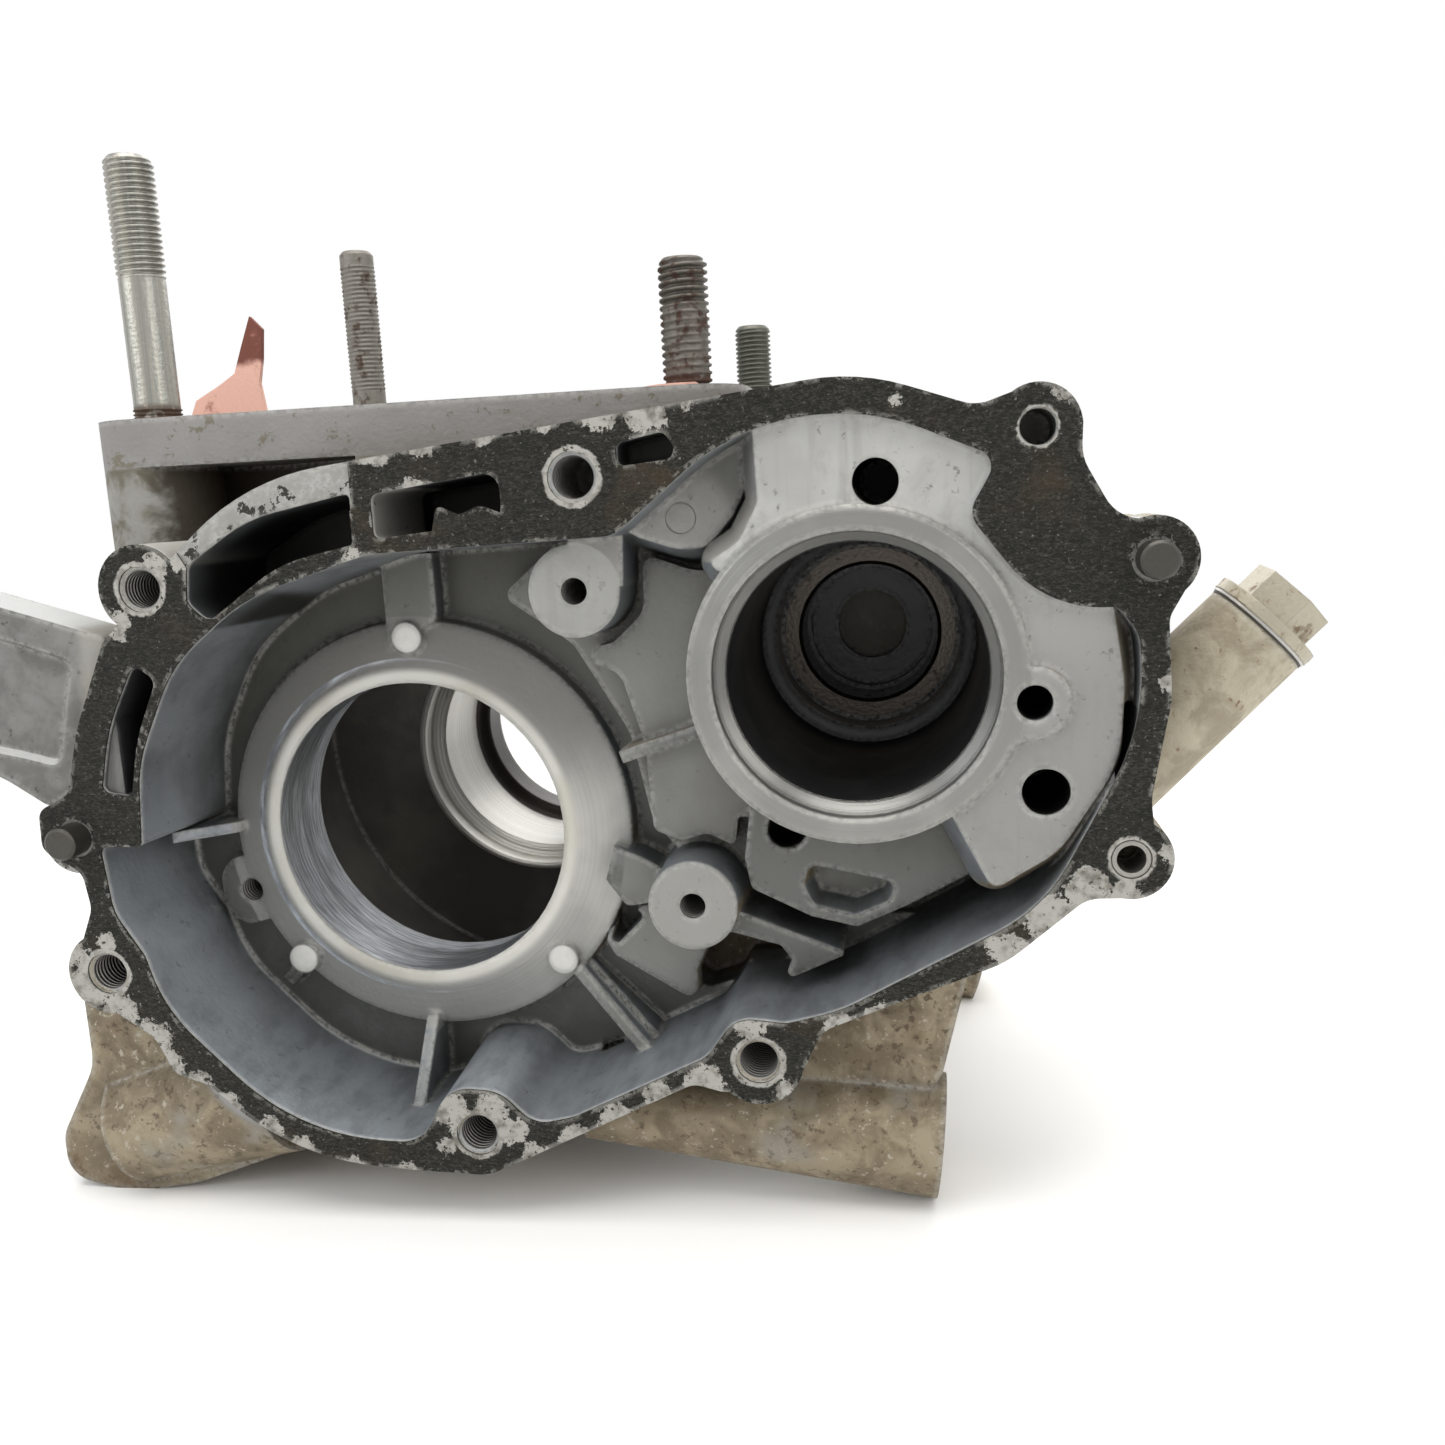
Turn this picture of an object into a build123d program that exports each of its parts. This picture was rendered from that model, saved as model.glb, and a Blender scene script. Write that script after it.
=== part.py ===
from build123d import *
import os
from math import cos, radians, sin, sqrt

os.makedirs("parts", exist_ok=True)

# Frame: the Y axis is the crank line and points away from the cover side, +Z is up
# The origin lies at the mouth of the front main bearing bore

# Front cover joint
cover_y = -24.2            # joint face of the cover flange
rim_depth = 30.0           # outer wall behind the joint face
lobe_depth = 20.0          # bolt lobes behind the joint face
pin_lobe_depth = 11.0      # thin lobes that carry pins or through bolts
cover_lobe_r = 8.4
pin_lobe_r = 7.2
cover_thread_d = 7.0
thread_mouth = 0.6         # countersink at each threaded mouth
cover_thread_depth = 16.0
cover_bolts = [(-40.5, 53.5), (-58.0, -22.5), (16.5, -55.0), (72.5, -38.7)]
top_hole = (44.3, 70.0)
top_hole_d = 7.4
through_lobe = (124.0, 74.3)
through_hole_d = 6.0

# Dowels of the cover
dowel_d = 6.5
dowel_seat_d = 6.0
dowel_standing = 5.5
dowel_tip = 0.5
dowel_seat_depth = 8.0
left_dowel = (-61.0, 5.4)
right_dowel = (142.9, 51.8)
sleeve_seat = (139.4, 0.1)
sleeve_d = 6.6
sleeve_bore_d = 5.0
sleeve_length = 8.0
sleeve_standing = 0.4

# Front cavity
floor_y = 6.0              # general floor behind the crank boss mouth
channel_y = 10.0           # deeper channel along the left and bottom wall
web_y = -7.0               # raised web between the two bores
low_floor_y = -1.0
cavity_draft = 2.0         # degrees
blind_end = 8.5            # floor of the blind oil ways
inner_thread_end = 3.0
deep_floor = 16.0
wall = 5.0

# Crank line
bearing_bore_d = 62.0
bearing_seat_d = 65.6
seat_start = 11.0
front_boss_end = 25.0
front_boss_inner_d = 70.8
front_hub_d = 82.0
boss_ring_d = 68.6
boss_face_d = 86.6
boss_shift = 1.5
chamber_r = 68.0
chamber_front = 18.0
chamber_back = 104.0
chamber_wall = 5.0
rear_boss_face = 88.0
rear_boss_d = 69.6
rear_boss_mouth_d = 66.4
rear_bearing_d = 60.2
rear_seal_d = 54.4
rear_face = 136.0
rear_hub_d = 82.0

# Right-hand shaft bore
shaft_x = 92.6
shaft_z = 33.1
shaft_bore_d = 47.0
shaft_mouth_d = 51.0
shaft_mouth_depth = 3.0
shaft_ring_d = 60.0
shaft_bore_end = 38.0
shaft_step_d = 41.0
shaft_step_end = 48.0
race_d = 39.0
race_bore_d = 31.0
race_length = 14.0
shaft_end_y = 66.0
shaft_centre_d = 16.6
shaft_centre_depth = 3.0
shaft_wall = 6.0
plateau_y = cover_y + 1.3
plateau_skirt = 8.0        # sloping side below the plateau edge
skirt_slope = 22.0         # degrees
pocket_y = -15.0           # floor of the pocket left of the plateau
step_y = -12.0             # step below the right-hand bore
boss_y = -15.0             # faces of the two inner bolt bosses
inner_bosses = [(40.6, 49.4), (59.8, -11.6)]
inner_boss_d = 17.4
inner_thread_d = 5.0
ejector_d = 5.8

# Cylinder deck
deck_z = 87.2
deck_thickness = 10.0
stud_front_y = 18.0
stud_pitch_x = 117.0
stud_pitch_y = 113.0
corner_r = 12.0
tower_wall = 7.0
tower_foot = 20.0
column_front = 60.0
column_rear = 40.0
web_t = 10.0
bridge_left = -9.0         # the front of the deck closes down to the housing from here
bridge_foot = 48.0
spigot_d = 98.0
spigot_end = 46.0          # the spigot bore opens into the crank chamber here
stud_d = 10.0
stud_seat_d = 9.5          # root of the stud and its hole in the deck
stud_seat_depth = 22.0
long_stud = 54.3
short_stud = 25.4
stud_tip = 1.2

# Feet and arm
floor_z = -75.0            # where the left foot stands
foot_x = -65.0
foot_r = 12.0
foot_y = -8.5
base_lean = 0.8            # degrees between the feet and the deck
rear_foot_y = 96.0
arm_thickness = 11.0
arm_eye_d = 27.0
arm_panel_depth = 1.2      # sunk face between the arm's edge ridges
arm_reach = 62.0
arm_bore_d = 12.0

# Filler neck and its plug
neck_d = 20.4
neck_draft = 0.7           # degrees, wider towards the wall
neck_y = 2.5
neck_root = (134.6, 5.3)
neck_top_t = 142.7         # height of the neck face along the 45 degree line
neck_foot_t = 81.6
neck_bore_d = 14.0
neck_bore_end_t = 109.6
seal_d = 20.6
seal_t = 0.4
washer_d = 21.0
washer_t = 0.6
plug_flange_d = 21.4
plug_flange_t = 2.1
plug_hex = 14.0
plug_hex_t = 6.2
plug_hex_turn = 7.4        # degrees, where the plug came tight
plug_shank_d = 13.6
plug_shank_l = 11.0

# Gasket remains
gasket_t = 0.5
gasket_gap = 0.4           # round bolt holes
gasket_dowel_gap = 1.3
scrap_y = 44.0
scrap_t = 1.2
sliver_d = 19.0
sliver_bore_d = 12.6
sliver_t = 0.6


def at_depth(y):
    """Working plane across the crank line at depth y, drawn as seen from the cover side."""
    return Plane.XZ.offset(-y)


def slab(sketch, front, back, draft=0.0):
    """Solid between two depths from a sketch drawn as seen from the cover side."""
    return extrude(at_depth(front) * sketch, amount=back - front, dir=(0, 1, 0), taper=draft)


def outline(corners):
    """Closed face from corners given as x, z and the corner radius."""
    points = [(x, z) for x, z, _ in corners]
    radii = [r for _, _, r in corners]
    return make_face(FilletPolyline(*points, radius=radii, close=True))


def disc(centre, diameter):
    return Pos(*centre) * Circle(diameter / 2)


def rod(centre, diameter, front, back):
    return slab(disc(centre, diameter), front, back)


def turned(centre, profile):
    """Body of revolution about a line along Y; profile holds radius and depth."""
    section = make_face(Polyline(*[(r, y) for r, y in profile], close=True))
    body = revolve(section, axis=Axis.Y, revolution_arc=360)
    return Pos(centre[0], 0, centre[1]) * body


def rib(start, end, crest_start, crest_end, foot, thickness):
    """Straight rib between two points of the cavity, with a sloping crest."""
    run = Vector(end[0] - start[0], 0, end[1] - start[1])
    side = Plane(origin=(start[0], 0, start[1]), x_dir=run, z_dir=run.cross(Vector(0, 1, 0)))
    lift = [(0, crest_start), (run.length, crest_end), (run.length, foot), (0, foot)]
    up = side.y_dir.Y
    profile = make_face(Polyline(*[(a, b * up) for a, b in lift], close=True))
    return extrude(side * profile, amount=thickness / 2, both=True)


def flange_outline():
    """Plain outer line of the flange without its lobes."""
    return outline([
        (-49.6, 43.6, 2), (-19, 72.4, 50), (94.5, 85, 38), (114, 78.2, 7), (124, 81.5, 4),
        (131.3, 76, 3), (131, 69, 8), (136.8, 58.6, 7), (146, 58.3, 3), (148, 47, 3),
        (145.2, 42, 4), (145.8, 28, 12), (142.6, 11, 12), (143.4, 3, 3), (141, -6.9, 3),
        (132, -7, 6), (118, -18.8, 20), (84.6, -32.4, 6), (80.5, -41, 4), (66, -45, 4),
        (60, -43.4, 4), (24, -60.8, 6), (17, -63.5, 4), (4, -63, 10), (-22, -61.2, 50),
        (-39, -46, 4), (-46, -43.6, 3), (-49.5, -36, 6), (-56, -31.5, 4), (-66, -26, 4),
        (-62.5, -16, 4), (-59.5, -9, 5), (-60.5, -1.5, 4), (-68.4, 3, 3), (-68, 11, 3),
        (-61.2, 14.2, 3), (-57.4, 27, 30)])


def cavity_outline():
    """Inner line of the flange: the mouth of the front cavity."""
    return outline([
        (-20, 51, 40), (5, 58.2, 20), (51, 59.5, 6), (74, 77.8, 40), (97, 78.6, 40),
        (117.6, 69.6, 3), (112.4, 60.5, 4), (125, 44, 20), (137, 44, 2), (140.6, 39, 6),
        (141.3, 23, 40), (124.5, -9, 30), (88, -28.6, 30), (78, -31.2, 6), (68.5, -30.2, 6),
        (62.6, -38.2, 6), (36, -51, 12), (28, -52.8, 6), (21.5, -46, 8), (11, -45.5, 7),
        (5, -57.4, 8), (-21, -56.4, 44), (-47, -30, 30), (-49.5, -19, 8), (-55, -10, 10),
        (-56, 3.6, 1.5), (-47.2, 3.6, 1), (-45.6, 20, 30), (-36, 39, 30)])


def window_outlines():
    """Pockets between the outer rim and the cavity wall, upper left."""
    long_window = outline([
        (-30.6, 57.6, 3), (-18, 65.4, 30), (2.6, 69.3, 1), (2.6, 60.0, 1), (-12, 57.2, 30),
        (-27.5, 46.8, 2.5), (-31.4, 50.5, 2.5)])
    middle_window = outline([(6.6, 60.8, 1.2), (6.6, 68.8, 1.5), (31, 71.8, 3), (31, 63.0, 3)])
    small_window = outline([(52.5, 71.4, 1.2), (52.5, 75.4, 1.2), (61, 77, 2), (64, 72.4, 1.8)])
    left_window = outline([
        (-54, 14.6, 1.5), (-51, 27, 40), (-44, 39.6, 2), (-39.6, 36.2, 2), (-45, 25, 40),
        (-47.6, 13.6, 1.5)])
    return [long_window, middle_window, small_window, left_window]


def front_housing():
    """Cover flange, outer wall and the cavity with its windows."""
    base = flange_outline()
    body = slab(base, cover_y, cover_y + rim_depth + wall)
    for centre in cover_bolts:
        body += rod(centre, 2 * cover_lobe_r, cover_y, cover_y + lobe_depth)
    for centre in [through_lobe, left_dowel, right_dowel, sleeve_seat]:
        body += rod(centre, 2 * pin_lobe_r, cover_y, cover_y + pin_lobe_depth)
    body -= slab(cavity_outline(), cover_y, channel_y, cavity_draft)
    for window in window_outlines():
        body -= slab(window, cover_y, floor_y)
    return body


def cavity_floor():
    """Raised floor round the crank boss, set in from the wall by the channel."""
    left = outline([
        (-50, 0, 1), (-50.5, -14, 14), (-38, -36, 40), (-14, -52.5, 40), (10, -50, 4),
        (14, -43.5, 5), (20, -41, 8), (30, -48.5, 8), (46, -44, 3), (66, -20, 5),
        (120, 0, 5), (120, 60, 5), (70, 70, 5), (40, 56, 5), (0, 54, 30), (-26, 45, 30),
        (-44, 22, 30)])
    return slab(left, floor_y, channel_y + wall)


def crank_boss():
    """Boss of the front main bearing with its machined ring and sloping face."""
    face = [(boss_ring_d / 2, 0.0), (boss_face_d / 2, 2.2), (boss_face_d / 2 + 0.9, floor_y + 1),
            (0.0, floor_y + 1), (0.0, 0.0)]
    return turned((boss_shift, 0), face) + rod((0, 0), boss_ring_d, 0, front_boss_end)


def ejector_pad(angle, radius, length):
    centre = (radius * cos(radians(angle)), radius * sin(radians(angle)))
    return rod(centre, 6.4, -0.6, length)


def crank_ribs():
    """Pads and ribs that tie the crank boss to the cavity wall."""
    ribs = [
        rib((-40, 1.0), (-50, 1.2), 0.2, -9.5, channel_y + 1, 2.2),
        rib((-1.0, -41), (-1.6, -61), 0.4, -13, channel_y + 1, 2.4),
        rib((31.5, -30), (52, -50.6), 0.2, -8, channel_y + 1, 2.6),
        rib((31.5, -30), (52, -50.6), 3.5, -3.5, channel_y + 1, 4.6),
        rib((-29.5, -29.5), (-34.5, -34.5), 1.5, 2.5, floor_y + 1, 2.6)]
    pads = [ejector_pad(angle, 40.3, floor_y + 1) for angle in (88.5, 224.5, 316.0)]
    pillar = outline([(-3.4, 38, 0), (-3.4, 57, 0), (7.4, 57, 0), (7.4, 43.5, 3)])
    return ribs + pads + [slab(pillar, 0.6, floor_y + 1)]


def shaft_boss():
    """Boss round the right-hand bore, its plateau and the raised web beside it."""
    centre = (shaft_x, shaft_z)
    ring = slab(disc(centre, shaft_ring_d), cover_y, channel_y + 1, -3)
    eye = slab(disc((123.3, 27.9), 12.6), cover_y, channel_y + 1, -3)
    eye_tie = outline([(112, 34, 1), (123, 34.1, 2), (123, 21.7, 2), (110, 17, 1)])
    plateau = outline([
        (76.2, 80, 0), (76.7, 64, 4), (73, 57.5, 3), (67.5, 54, 1), (92, 33, 0), (109.2, 7.4, 1),
        (115.9, -5.9, 2), (127.5, 1.2, 14), (137.6, 17, 20), (138.2, 31, 20), (136.2, 45, 0),
        (119, 80, 0)])
    web = outline([
        (34, 37, 2), (45.6, 38.6, 5), (52, 44.5, 5), (52.3, 55.4, 2), (61.5, 52, 8), (92, 50, 0),
        (92, 3, 0), (68.2, 4, 1), (67.4, -2, 1), (62, 0.8, 3), (57, -0.8, 2),
        (51.4, 1.4, 2), (50.6, 19, 14), (46.5, 33, 5)])
    return [
        slab(plateau, plateau_y, plateau_y + plateau_skirt, -skirt_slope),
        slab(plateau, plateau_y + plateau_skirt / 2, channel_y + 1),
        slab(web, web_y, channel_y + 1), pocket_ledge(), ring, eye, slab(eye_tie, cover_y, floor_y)]


def pocket_ledge():
    """Flat ledge between the plateau and the flange, marked by an ejector disc."""
    ledge = outline([
        (48, 80, 0), (48, 62, 1), (53.6, 58.8, 2), (60.5, 56.4, 8), (66, 56.4, 5), (71, 62, 5),
        (80, 80, 0)])
    mark = disc((61.5, 61.9), ejector_d) - disc((61.5, 61.9), ejector_d - 0.5)
    return slab(ledge, pocket_y, channel_y + 1, -14) - slab(mark, pocket_y - 1, pocket_y + 0.2)


def plateau_slit():
    """Narrow gap between the plateau and the outer wall."""
    gap = outline([
        (138.4, 27.6, 0.6), (140.6, 26.6, 0.6), (140.4, 20, 12), (136.4, 6.4, 0.6), (134.6, 8.4, 0.6),
        (138, 18, 12)])
    return slab(gap, plateau_y - 1, floor_y)


def small_bosses():
    """Bolt bosses with their ties, the tapped pad by the crank boss and the steps below the side bore."""
    bosses = [slab(disc(centre, inner_boss_d), boss_y, channel_y + 1, -2) for centre in inner_bosses]
    boss_tie = outline([(40, 62, 0), (40, 50, 0), (50, 50, 0), (50.6, 62, 0)])
    pad = outline([(-47.5, -7, 6), (-38, -5.5, 1), (-32.5, -19, 1), (-42, -21.5, 3), (-47, -19, 5)])
    step = outline([
        (71.5, 8, 1), (69.9, -3, 3), (71, -9, 2), (82.4, -14.6, 3), (91, -16.6, 2),
        (100, -12.6, 2), (114.4, -5, 3), (109, 8, 1), (92, 20, 1)])
    gusset = outline([
        (60, -11, 0), (89, -22.6, 0.6), (76, -28.4, 1), (78.2, -24, 1), (76, -21, 1), (62, -17, 0)])
    saddle = outline([
        (47.5, -15.6, 2), (38.6, -23.4, 1), (40.5, -26.8, 1), (57.4, -37, 2), (57.2, -30, 2), (60, -24, 2)])
    tie = outline([
        (42, -3, 0), (47.5, -5.4, 1), (54, -9, 1), (54, -14, 1), (44, -15.6, 2), (40, -10, 0)])
    return bosses + [
        slab(boss_tie, boss_y, floor_y + 1), slab(pad, 2.4, floor_y + 1),
        slab(step, step_y, channel_y + 1, -5), slab(gusset, step_y + 1.5, channel_y + 1),
        slab(saddle, -1.0, channel_y + 1, -10), slab(tie, -3.0, channel_y + 1),
        rib((46.5, 16.8), (64, 22.4), -10.5, -11.5, channel_y, 2.4)]


def low_floor():
    """Floor between the two bores, under the web and the bolt bosses."""
    return slab(outline([
        (22, 48, 2), (36, 38, 8), (46.4, 20, 12), (50, 2, 8), (58, -8, 6), (74, -8, 4), (92, -4, 0),
        (92, 50, 0), (70, 58, 6), (52, 61, 3), (34, 58, 3)]), low_floor_y, channel_y + 1)


def deep_pocket():
    """Outline of the deep L-shaped pocket beside the lower bolt boss."""
    return outline([
        (57.6, -26.6, 1.5), (60.6, -24.4, 1.5), (65.6, -24.2, 1), (76.2, -24, 2.4), (76.6, -29.8, 2.4),
        (67.4, -30.2, 1), (64.6, -34.4, 3), (58.2, -36.6, 1.5), (55, -34, 1.5)])


def cavity_holes():
    """Oil ways, tapped holes and pockets reached from the cavity."""
    left_slot = outline([(-60, -10, 2), (-56.4, -7.6, 2), (-49.4, -18, 1.6), (-51.4, -21.4, 1.6)])
    low_slot = outline([(33, -52, 0.9), (35, -49.6, 0.9), (41.4, -47.6, 0.9), (40.6, -50.2, 0.9)])
    saddle_slot = outline([(40.4, -18.4, 1.5), (44.6, -16.4, 1.5), (47.4, -18.2, 1.5), (39.6, -25.8, 1)])
    cuts = [
        (disc((97.0, 66.7), 8.0), cover_y, blind_end),
        (disc((123.3, 27.9), 6.2), cover_y, blind_end),
        (disc((125.2, 11.8), 8.4), cover_y, blind_end),
        (disc((78.2, 2.6), 7.4), step_y - 2, blind_end),
        (disc((-40.2, -13.6), inner_thread_d), -1.0, 14),
        (deep_pocket(), floor_y - 4, deep_floor),
        (left_slot, floor_y - 6, blind_end), (low_slot, floor_y - 2, blind_end), (saddle_slot, -2, blind_end)]
    cuts += [(disc(centre, inner_thread_d), boss_y, inner_thread_end) for centre in inner_bosses]
    holes = [slab(sketch, front, back) for sketch, front, back in cuts]
    trap = outline([
        (82.2, -4.2, 2), (98.8, -7.8, 2), (97.2, -11.7, 2), (90.9, -14.4, 2), (82.6, -12.4, 2.5),
        (80.9, -8.4, 2)])
    return holes + [slab(trap, step_y, step_y + 7, 12)]


def threaded_mouth(centre, diameter, face, depth):
    """Tapped hole with its countersunk mouth."""
    wide = diameter / 2 + thread_mouth
    profile = [(0, face), (wide, face), (diameter / 2, face + thread_mouth),
               (diameter / 2, face + depth), (0, face + depth + diameter / 4)]
    return turned(centre, profile)


def cover_face_holes():
    holes = [threaded_mouth(centre, cover_thread_d, cover_y, cover_thread_depth) for centre in cover_bolts]
    holes.append(threaded_mouth(top_hole, top_hole_d, cover_y, cover_thread_depth))
    holes.append(rod(through_lobe, through_hole_d, cover_y, cover_y + pin_lobe_depth))
    for centre in (left_dowel, right_dowel):
        holes.append(rod(centre, dowel_seat_d, cover_y, cover_y + dowel_seat_depth))
    holes.append(rod(sleeve_seat, sleeve_d, cover_y, cover_y + sleeve_length))
    holes.append(rod(sleeve_seat, sleeve_bore_d, cover_y, cover_y + pin_lobe_depth))
    return holes


def crank_barrel():
    """Crank chamber shell with the hub of the rear main bearing."""
    outer = chamber_r + chamber_wall
    back = chamber_back + chamber_wall
    barrel = turned((0, 0), [(0, floor_y), (outer, floor_y), (outer, back - 4), (outer - 4, back),
                             (rear_hub_d / 2 + 6, back), (rear_hub_d / 2, back + 8),
                             (rear_hub_d / 2, rear_face), (0, rear_face)])
    return barrel


def crank_cavity():
    """Space of the crank chamber, with both bearing bosses left standing in it."""
    hollow = turned((0, 0), [
        (front_boss_inner_d / 2, front_boss_end), (front_hub_d / 2, front_boss_end),
        (front_hub_d / 2 + 1.5, chamber_front), (chamber_r, chamber_front),
        (chamber_r, chamber_back), (rear_boss_d / 2 + 1.5, chamber_back), (rear_boss_d / 2, rear_boss_face),
        (0, rear_boss_face), (0, front_boss_end)])
    bore = turned((0, 0), [
        (0, -1), (bearing_bore_d / 2, -1), (bearing_bore_d / 2, seat_start - 1.5),
        (bearing_seat_d / 2, seat_start), (bearing_seat_d / 2, front_boss_end - 2.4),
        (front_boss_inner_d / 2, front_boss_end), (0, front_boss_end)])
    rear = turned((0, 0), [
        (0, rear_boss_face), (rear_boss_mouth_d / 2, rear_boss_face),
        (rear_boss_mouth_d / 2, rear_boss_face + 6),
        (rear_bearing_d / 2, rear_boss_face + 8), (rear_bearing_d / 2, rear_face - 12),
        (rear_seal_d / 2, rear_face - 10), (rear_seal_d / 2, rear_face), (0, rear_face)])
    return hollow + bore + rear


def shaft_barrel():
    """Long blind barrel behind the right-hand bore."""
    outer = shaft_bore_d / 2 + shaft_wall
    return turned((shaft_x, shaft_z), [
        (0, floor_y), (outer, floor_y), (outer - 1, shaft_bore_end),
        (shaft_step_d / 2 + shaft_wall, shaft_step_end), (race_d / 2 + shaft_wall, shaft_end_y),
        (race_d / 2 + shaft_wall - 4, shaft_end_y + wall + 3),
        (0, shaft_end_y + wall + 3)])


def shaft_cavity():
    race_end = shaft_step_end + race_length
    return turned((shaft_x, shaft_z), [
        (0, cover_y), (shaft_mouth_d / 2, cover_y), (shaft_mouth_d / 2, cover_y + shaft_mouth_depth),
        (shaft_bore_d / 2, cover_y + shaft_mouth_depth + 2), (shaft_bore_d / 2, shaft_bore_end),
        (shaft_step_d / 2, shaft_bore_end + 1), (shaft_step_d / 2, shaft_step_end),
        (race_d / 2, shaft_step_end), (race_d / 2, race_end), (race_bore_d / 2 - 1, race_end),
        (race_bore_d / 2 - 1, shaft_end_y), (shaft_centre_d / 2, shaft_end_y),
        (shaft_centre_d / 2, shaft_end_y + shaft_centre_depth), (0, shaft_end_y + shaft_centre_depth)])


def stud_places():
    half = stud_pitch_x / 2
    back = stud_front_y + stud_pitch_y
    return {"front_left": (-half, stud_front_y), "front_right": (half, stud_front_y),
            "rear_left": (-half, back), "rear_right": (half, back)}


def cylinder_deck():
    """Deck slab on four round columns, webbed to the round tower of the cylinder seat."""
    centre_y = stud_front_y + stud_pitch_y / 2
    plan = RectangleRounded(stud_pitch_x + 2 * corner_r, stud_pitch_y + 2 * corner_r, corner_r - 0.01)
    body = extrude(Pos(0, centre_y, deck_z) * plan, amount=-deck_thickness)
    tower_d = spigot_d + 2 * tower_wall
    body += extrude(Pos(0, centre_y, deck_z) * Circle(tower_d / 2), amount=-(deck_z - tower_foot))
    for x, y in stud_places().values():
        depth = column_front if y < centre_y else column_rear
        body += extrude(Pos(x, y, deck_z) * Circle(corner_r), amount=-depth)
        web = Pos(x * 0.7, centre_y + (y - centre_y) * 0.7, deck_z) * Rectangle(abs(x) * 0.6, web_t)
        body += extrude(web, amount=-depth)
    front_face = Pos((bridge_left + stud_pitch_x / 2) / 2, stud_front_y, deck_z)
    bridge = Rectangle(stud_pitch_x / 2 - bridge_left, 2 * corner_r)
    return body + extrude(front_face * bridge, amount=-(deck_z - bridge_foot))


def deck_cavity():
    """Cylinder spigot bore down into the crank chamber, and the stud holes."""
    centre_y = stud_front_y + stud_pitch_y / 2
    cut = extrude(Pos(0, centre_y, deck_z) * Circle(spigot_d / 2), amount=spigot_end - deck_z)
    for x, y in stud_places().values():
        cut += extrude(Pos(x, y, deck_z) * Circle(stud_seat_d / 2), amount=-stud_seat_depth)
    return cut


def left_arm():
    """Engine hanger arm that leaves the flange upper left, with its bolt eye."""
    top = cover_y + 1.2
    root = -50.0
    tip = root - arm_reach
    shape = outline([
        (root, 44.6, 1), (root - 34, 55.0, 40), (tip + 4, 61, 9), (tip, 44, 9), (tip + 9, 30, 9),
        (root - 25, 16.9, 20), (-67.2, 11.8, 3), (root, 11.6, 1)])
    arm = slab(shape, top, top + arm_thickness)
    panel = outline([
        (-56.5, 41, 3), (-72, 46.2, 60), (-88, 49, 3), (-88, 24, 3), (-72, 20.8, 30),
        (-62.6, 18.4, 3), (-60, 29, 40)])
    arm -= slab(panel, top - 1.0, top + arm_panel_depth, 40)
    eye = (tip + 13, 45)
    arm += rod(eye, arm_eye_d, top - 1.0, top + arm_thickness + 1.0)
    return arm - rod(eye, arm_bore_d, top - 2.0, top + arm_thickness + 2.0)


def lug(start, end, start_r, end_r):
    """Tapering round lug between two points of the plane at the feet."""
    line = Vector(end[0] - start[0], 0, end[1] - start[1])
    first = Plane(origin=(start[0], foot_y, start[1]), x_dir=(0, 1, 0), z_dir=line)
    last = first.offset(line.length)
    return loft([first * Circle(start_r), last * Circle(end_r)])


def feet():
    """Four round lugs under the casting, cut level where they stand."""
    left = lug((-30, -52), (-66, floor_z + 12.5), 15, 13)
    brace = outline([
        (-71.2, -26, 1), (-71.2, -47, 12), (-80.5, -63, 8), (-80.5, -72.5, 6), (-66, floor_z - 1, 6),
        (-50, -73, 6), (-20, -62, 10), (-20, -26, 1)])
    left += slab(brace, foot_y - 6.5, foot_y + 24)
    right = lug((36, -53), (106, floor_z + foot_r + 2.2), 9.5, foot_r)
    wall_right = outline([(113, -20, 1), (106.5, -46, 3), (100, -56, 6), (30, -50, 6), (30, -20, 1)])
    right += slab(wall_right, foot_y - 4, foot_y + 19)
    body = left + right
    for start, end in [((-50, -46), (-92, floor_z + 9.6)), ((50, -46), (118, floor_z + 9.6))]:
        body += Pos(0, rear_foot_y - foot_y, 0) * lug(start, end, 14, 10)
    standing = Pos(foot_x, 40, floor_z) * Rot(0, -base_lean, 0)
    ground = standing * Box(500, 400, 60, align=(Align.CENTER, Align.CENTER, Align.MAX))
    return body - ground


def neck_plane(height=0.0):
    """Plane across the filler neck at a height above its face."""
    axis = (1 / sqrt(2), 1 / sqrt(2))
    off = neck_root[0] - neck_root[1]
    t = neck_top_t + height
    x = t / sqrt(2) + off / 2
    z = t / sqrt(2) - off / 2
    return Plane(origin=(x, neck_y, z), x_dir=(0, 1, 0), z_dir=(axis[0], 0, axis[1]))


def filler_neck():
    """Filler neck at 45 degrees on the right-hand wall."""
    return extrude(neck_plane() * Circle(neck_d / 2), amount=neck_foot_t - neck_top_t, taper=-neck_draft)


def neck_bore():
    return extrude(neck_plane() * Circle(neck_bore_d / 2), amount=neck_bore_end_t - neck_top_t)


def crankcase_casting():
    """The one-piece casting."""
    body = front_housing()
    body += crank_barrel()
    body += shaft_barrel()
    body += cylinder_deck()
    body += left_arm()
    body += feet()
    neck = filler_neck() - slab(cavity_outline(), cover_y - 1, floor_y)
    body += neck
    body -= slab(cavity_outline(), cover_y, floor_y, cavity_draft)
    mouth = slab(flange_outline(), cover_y, channel_y + wall)
    body += slab(offset(deep_pocket(), amount=3), floor_y, deep_floor + 3)
    for inner in [cavity_floor(), crank_boss(), low_floor()] + crank_ribs() + shaft_boss() + small_bosses():
        body += inner & mouth
    body -= plateau_slit()
    for hole in cavity_holes() + cover_face_holes():
        body -= hole
    body -= crank_cavity()
    body -= shaft_cavity()
    body -= deck_cavity()
    body -= neck_bore()
    return body


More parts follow.
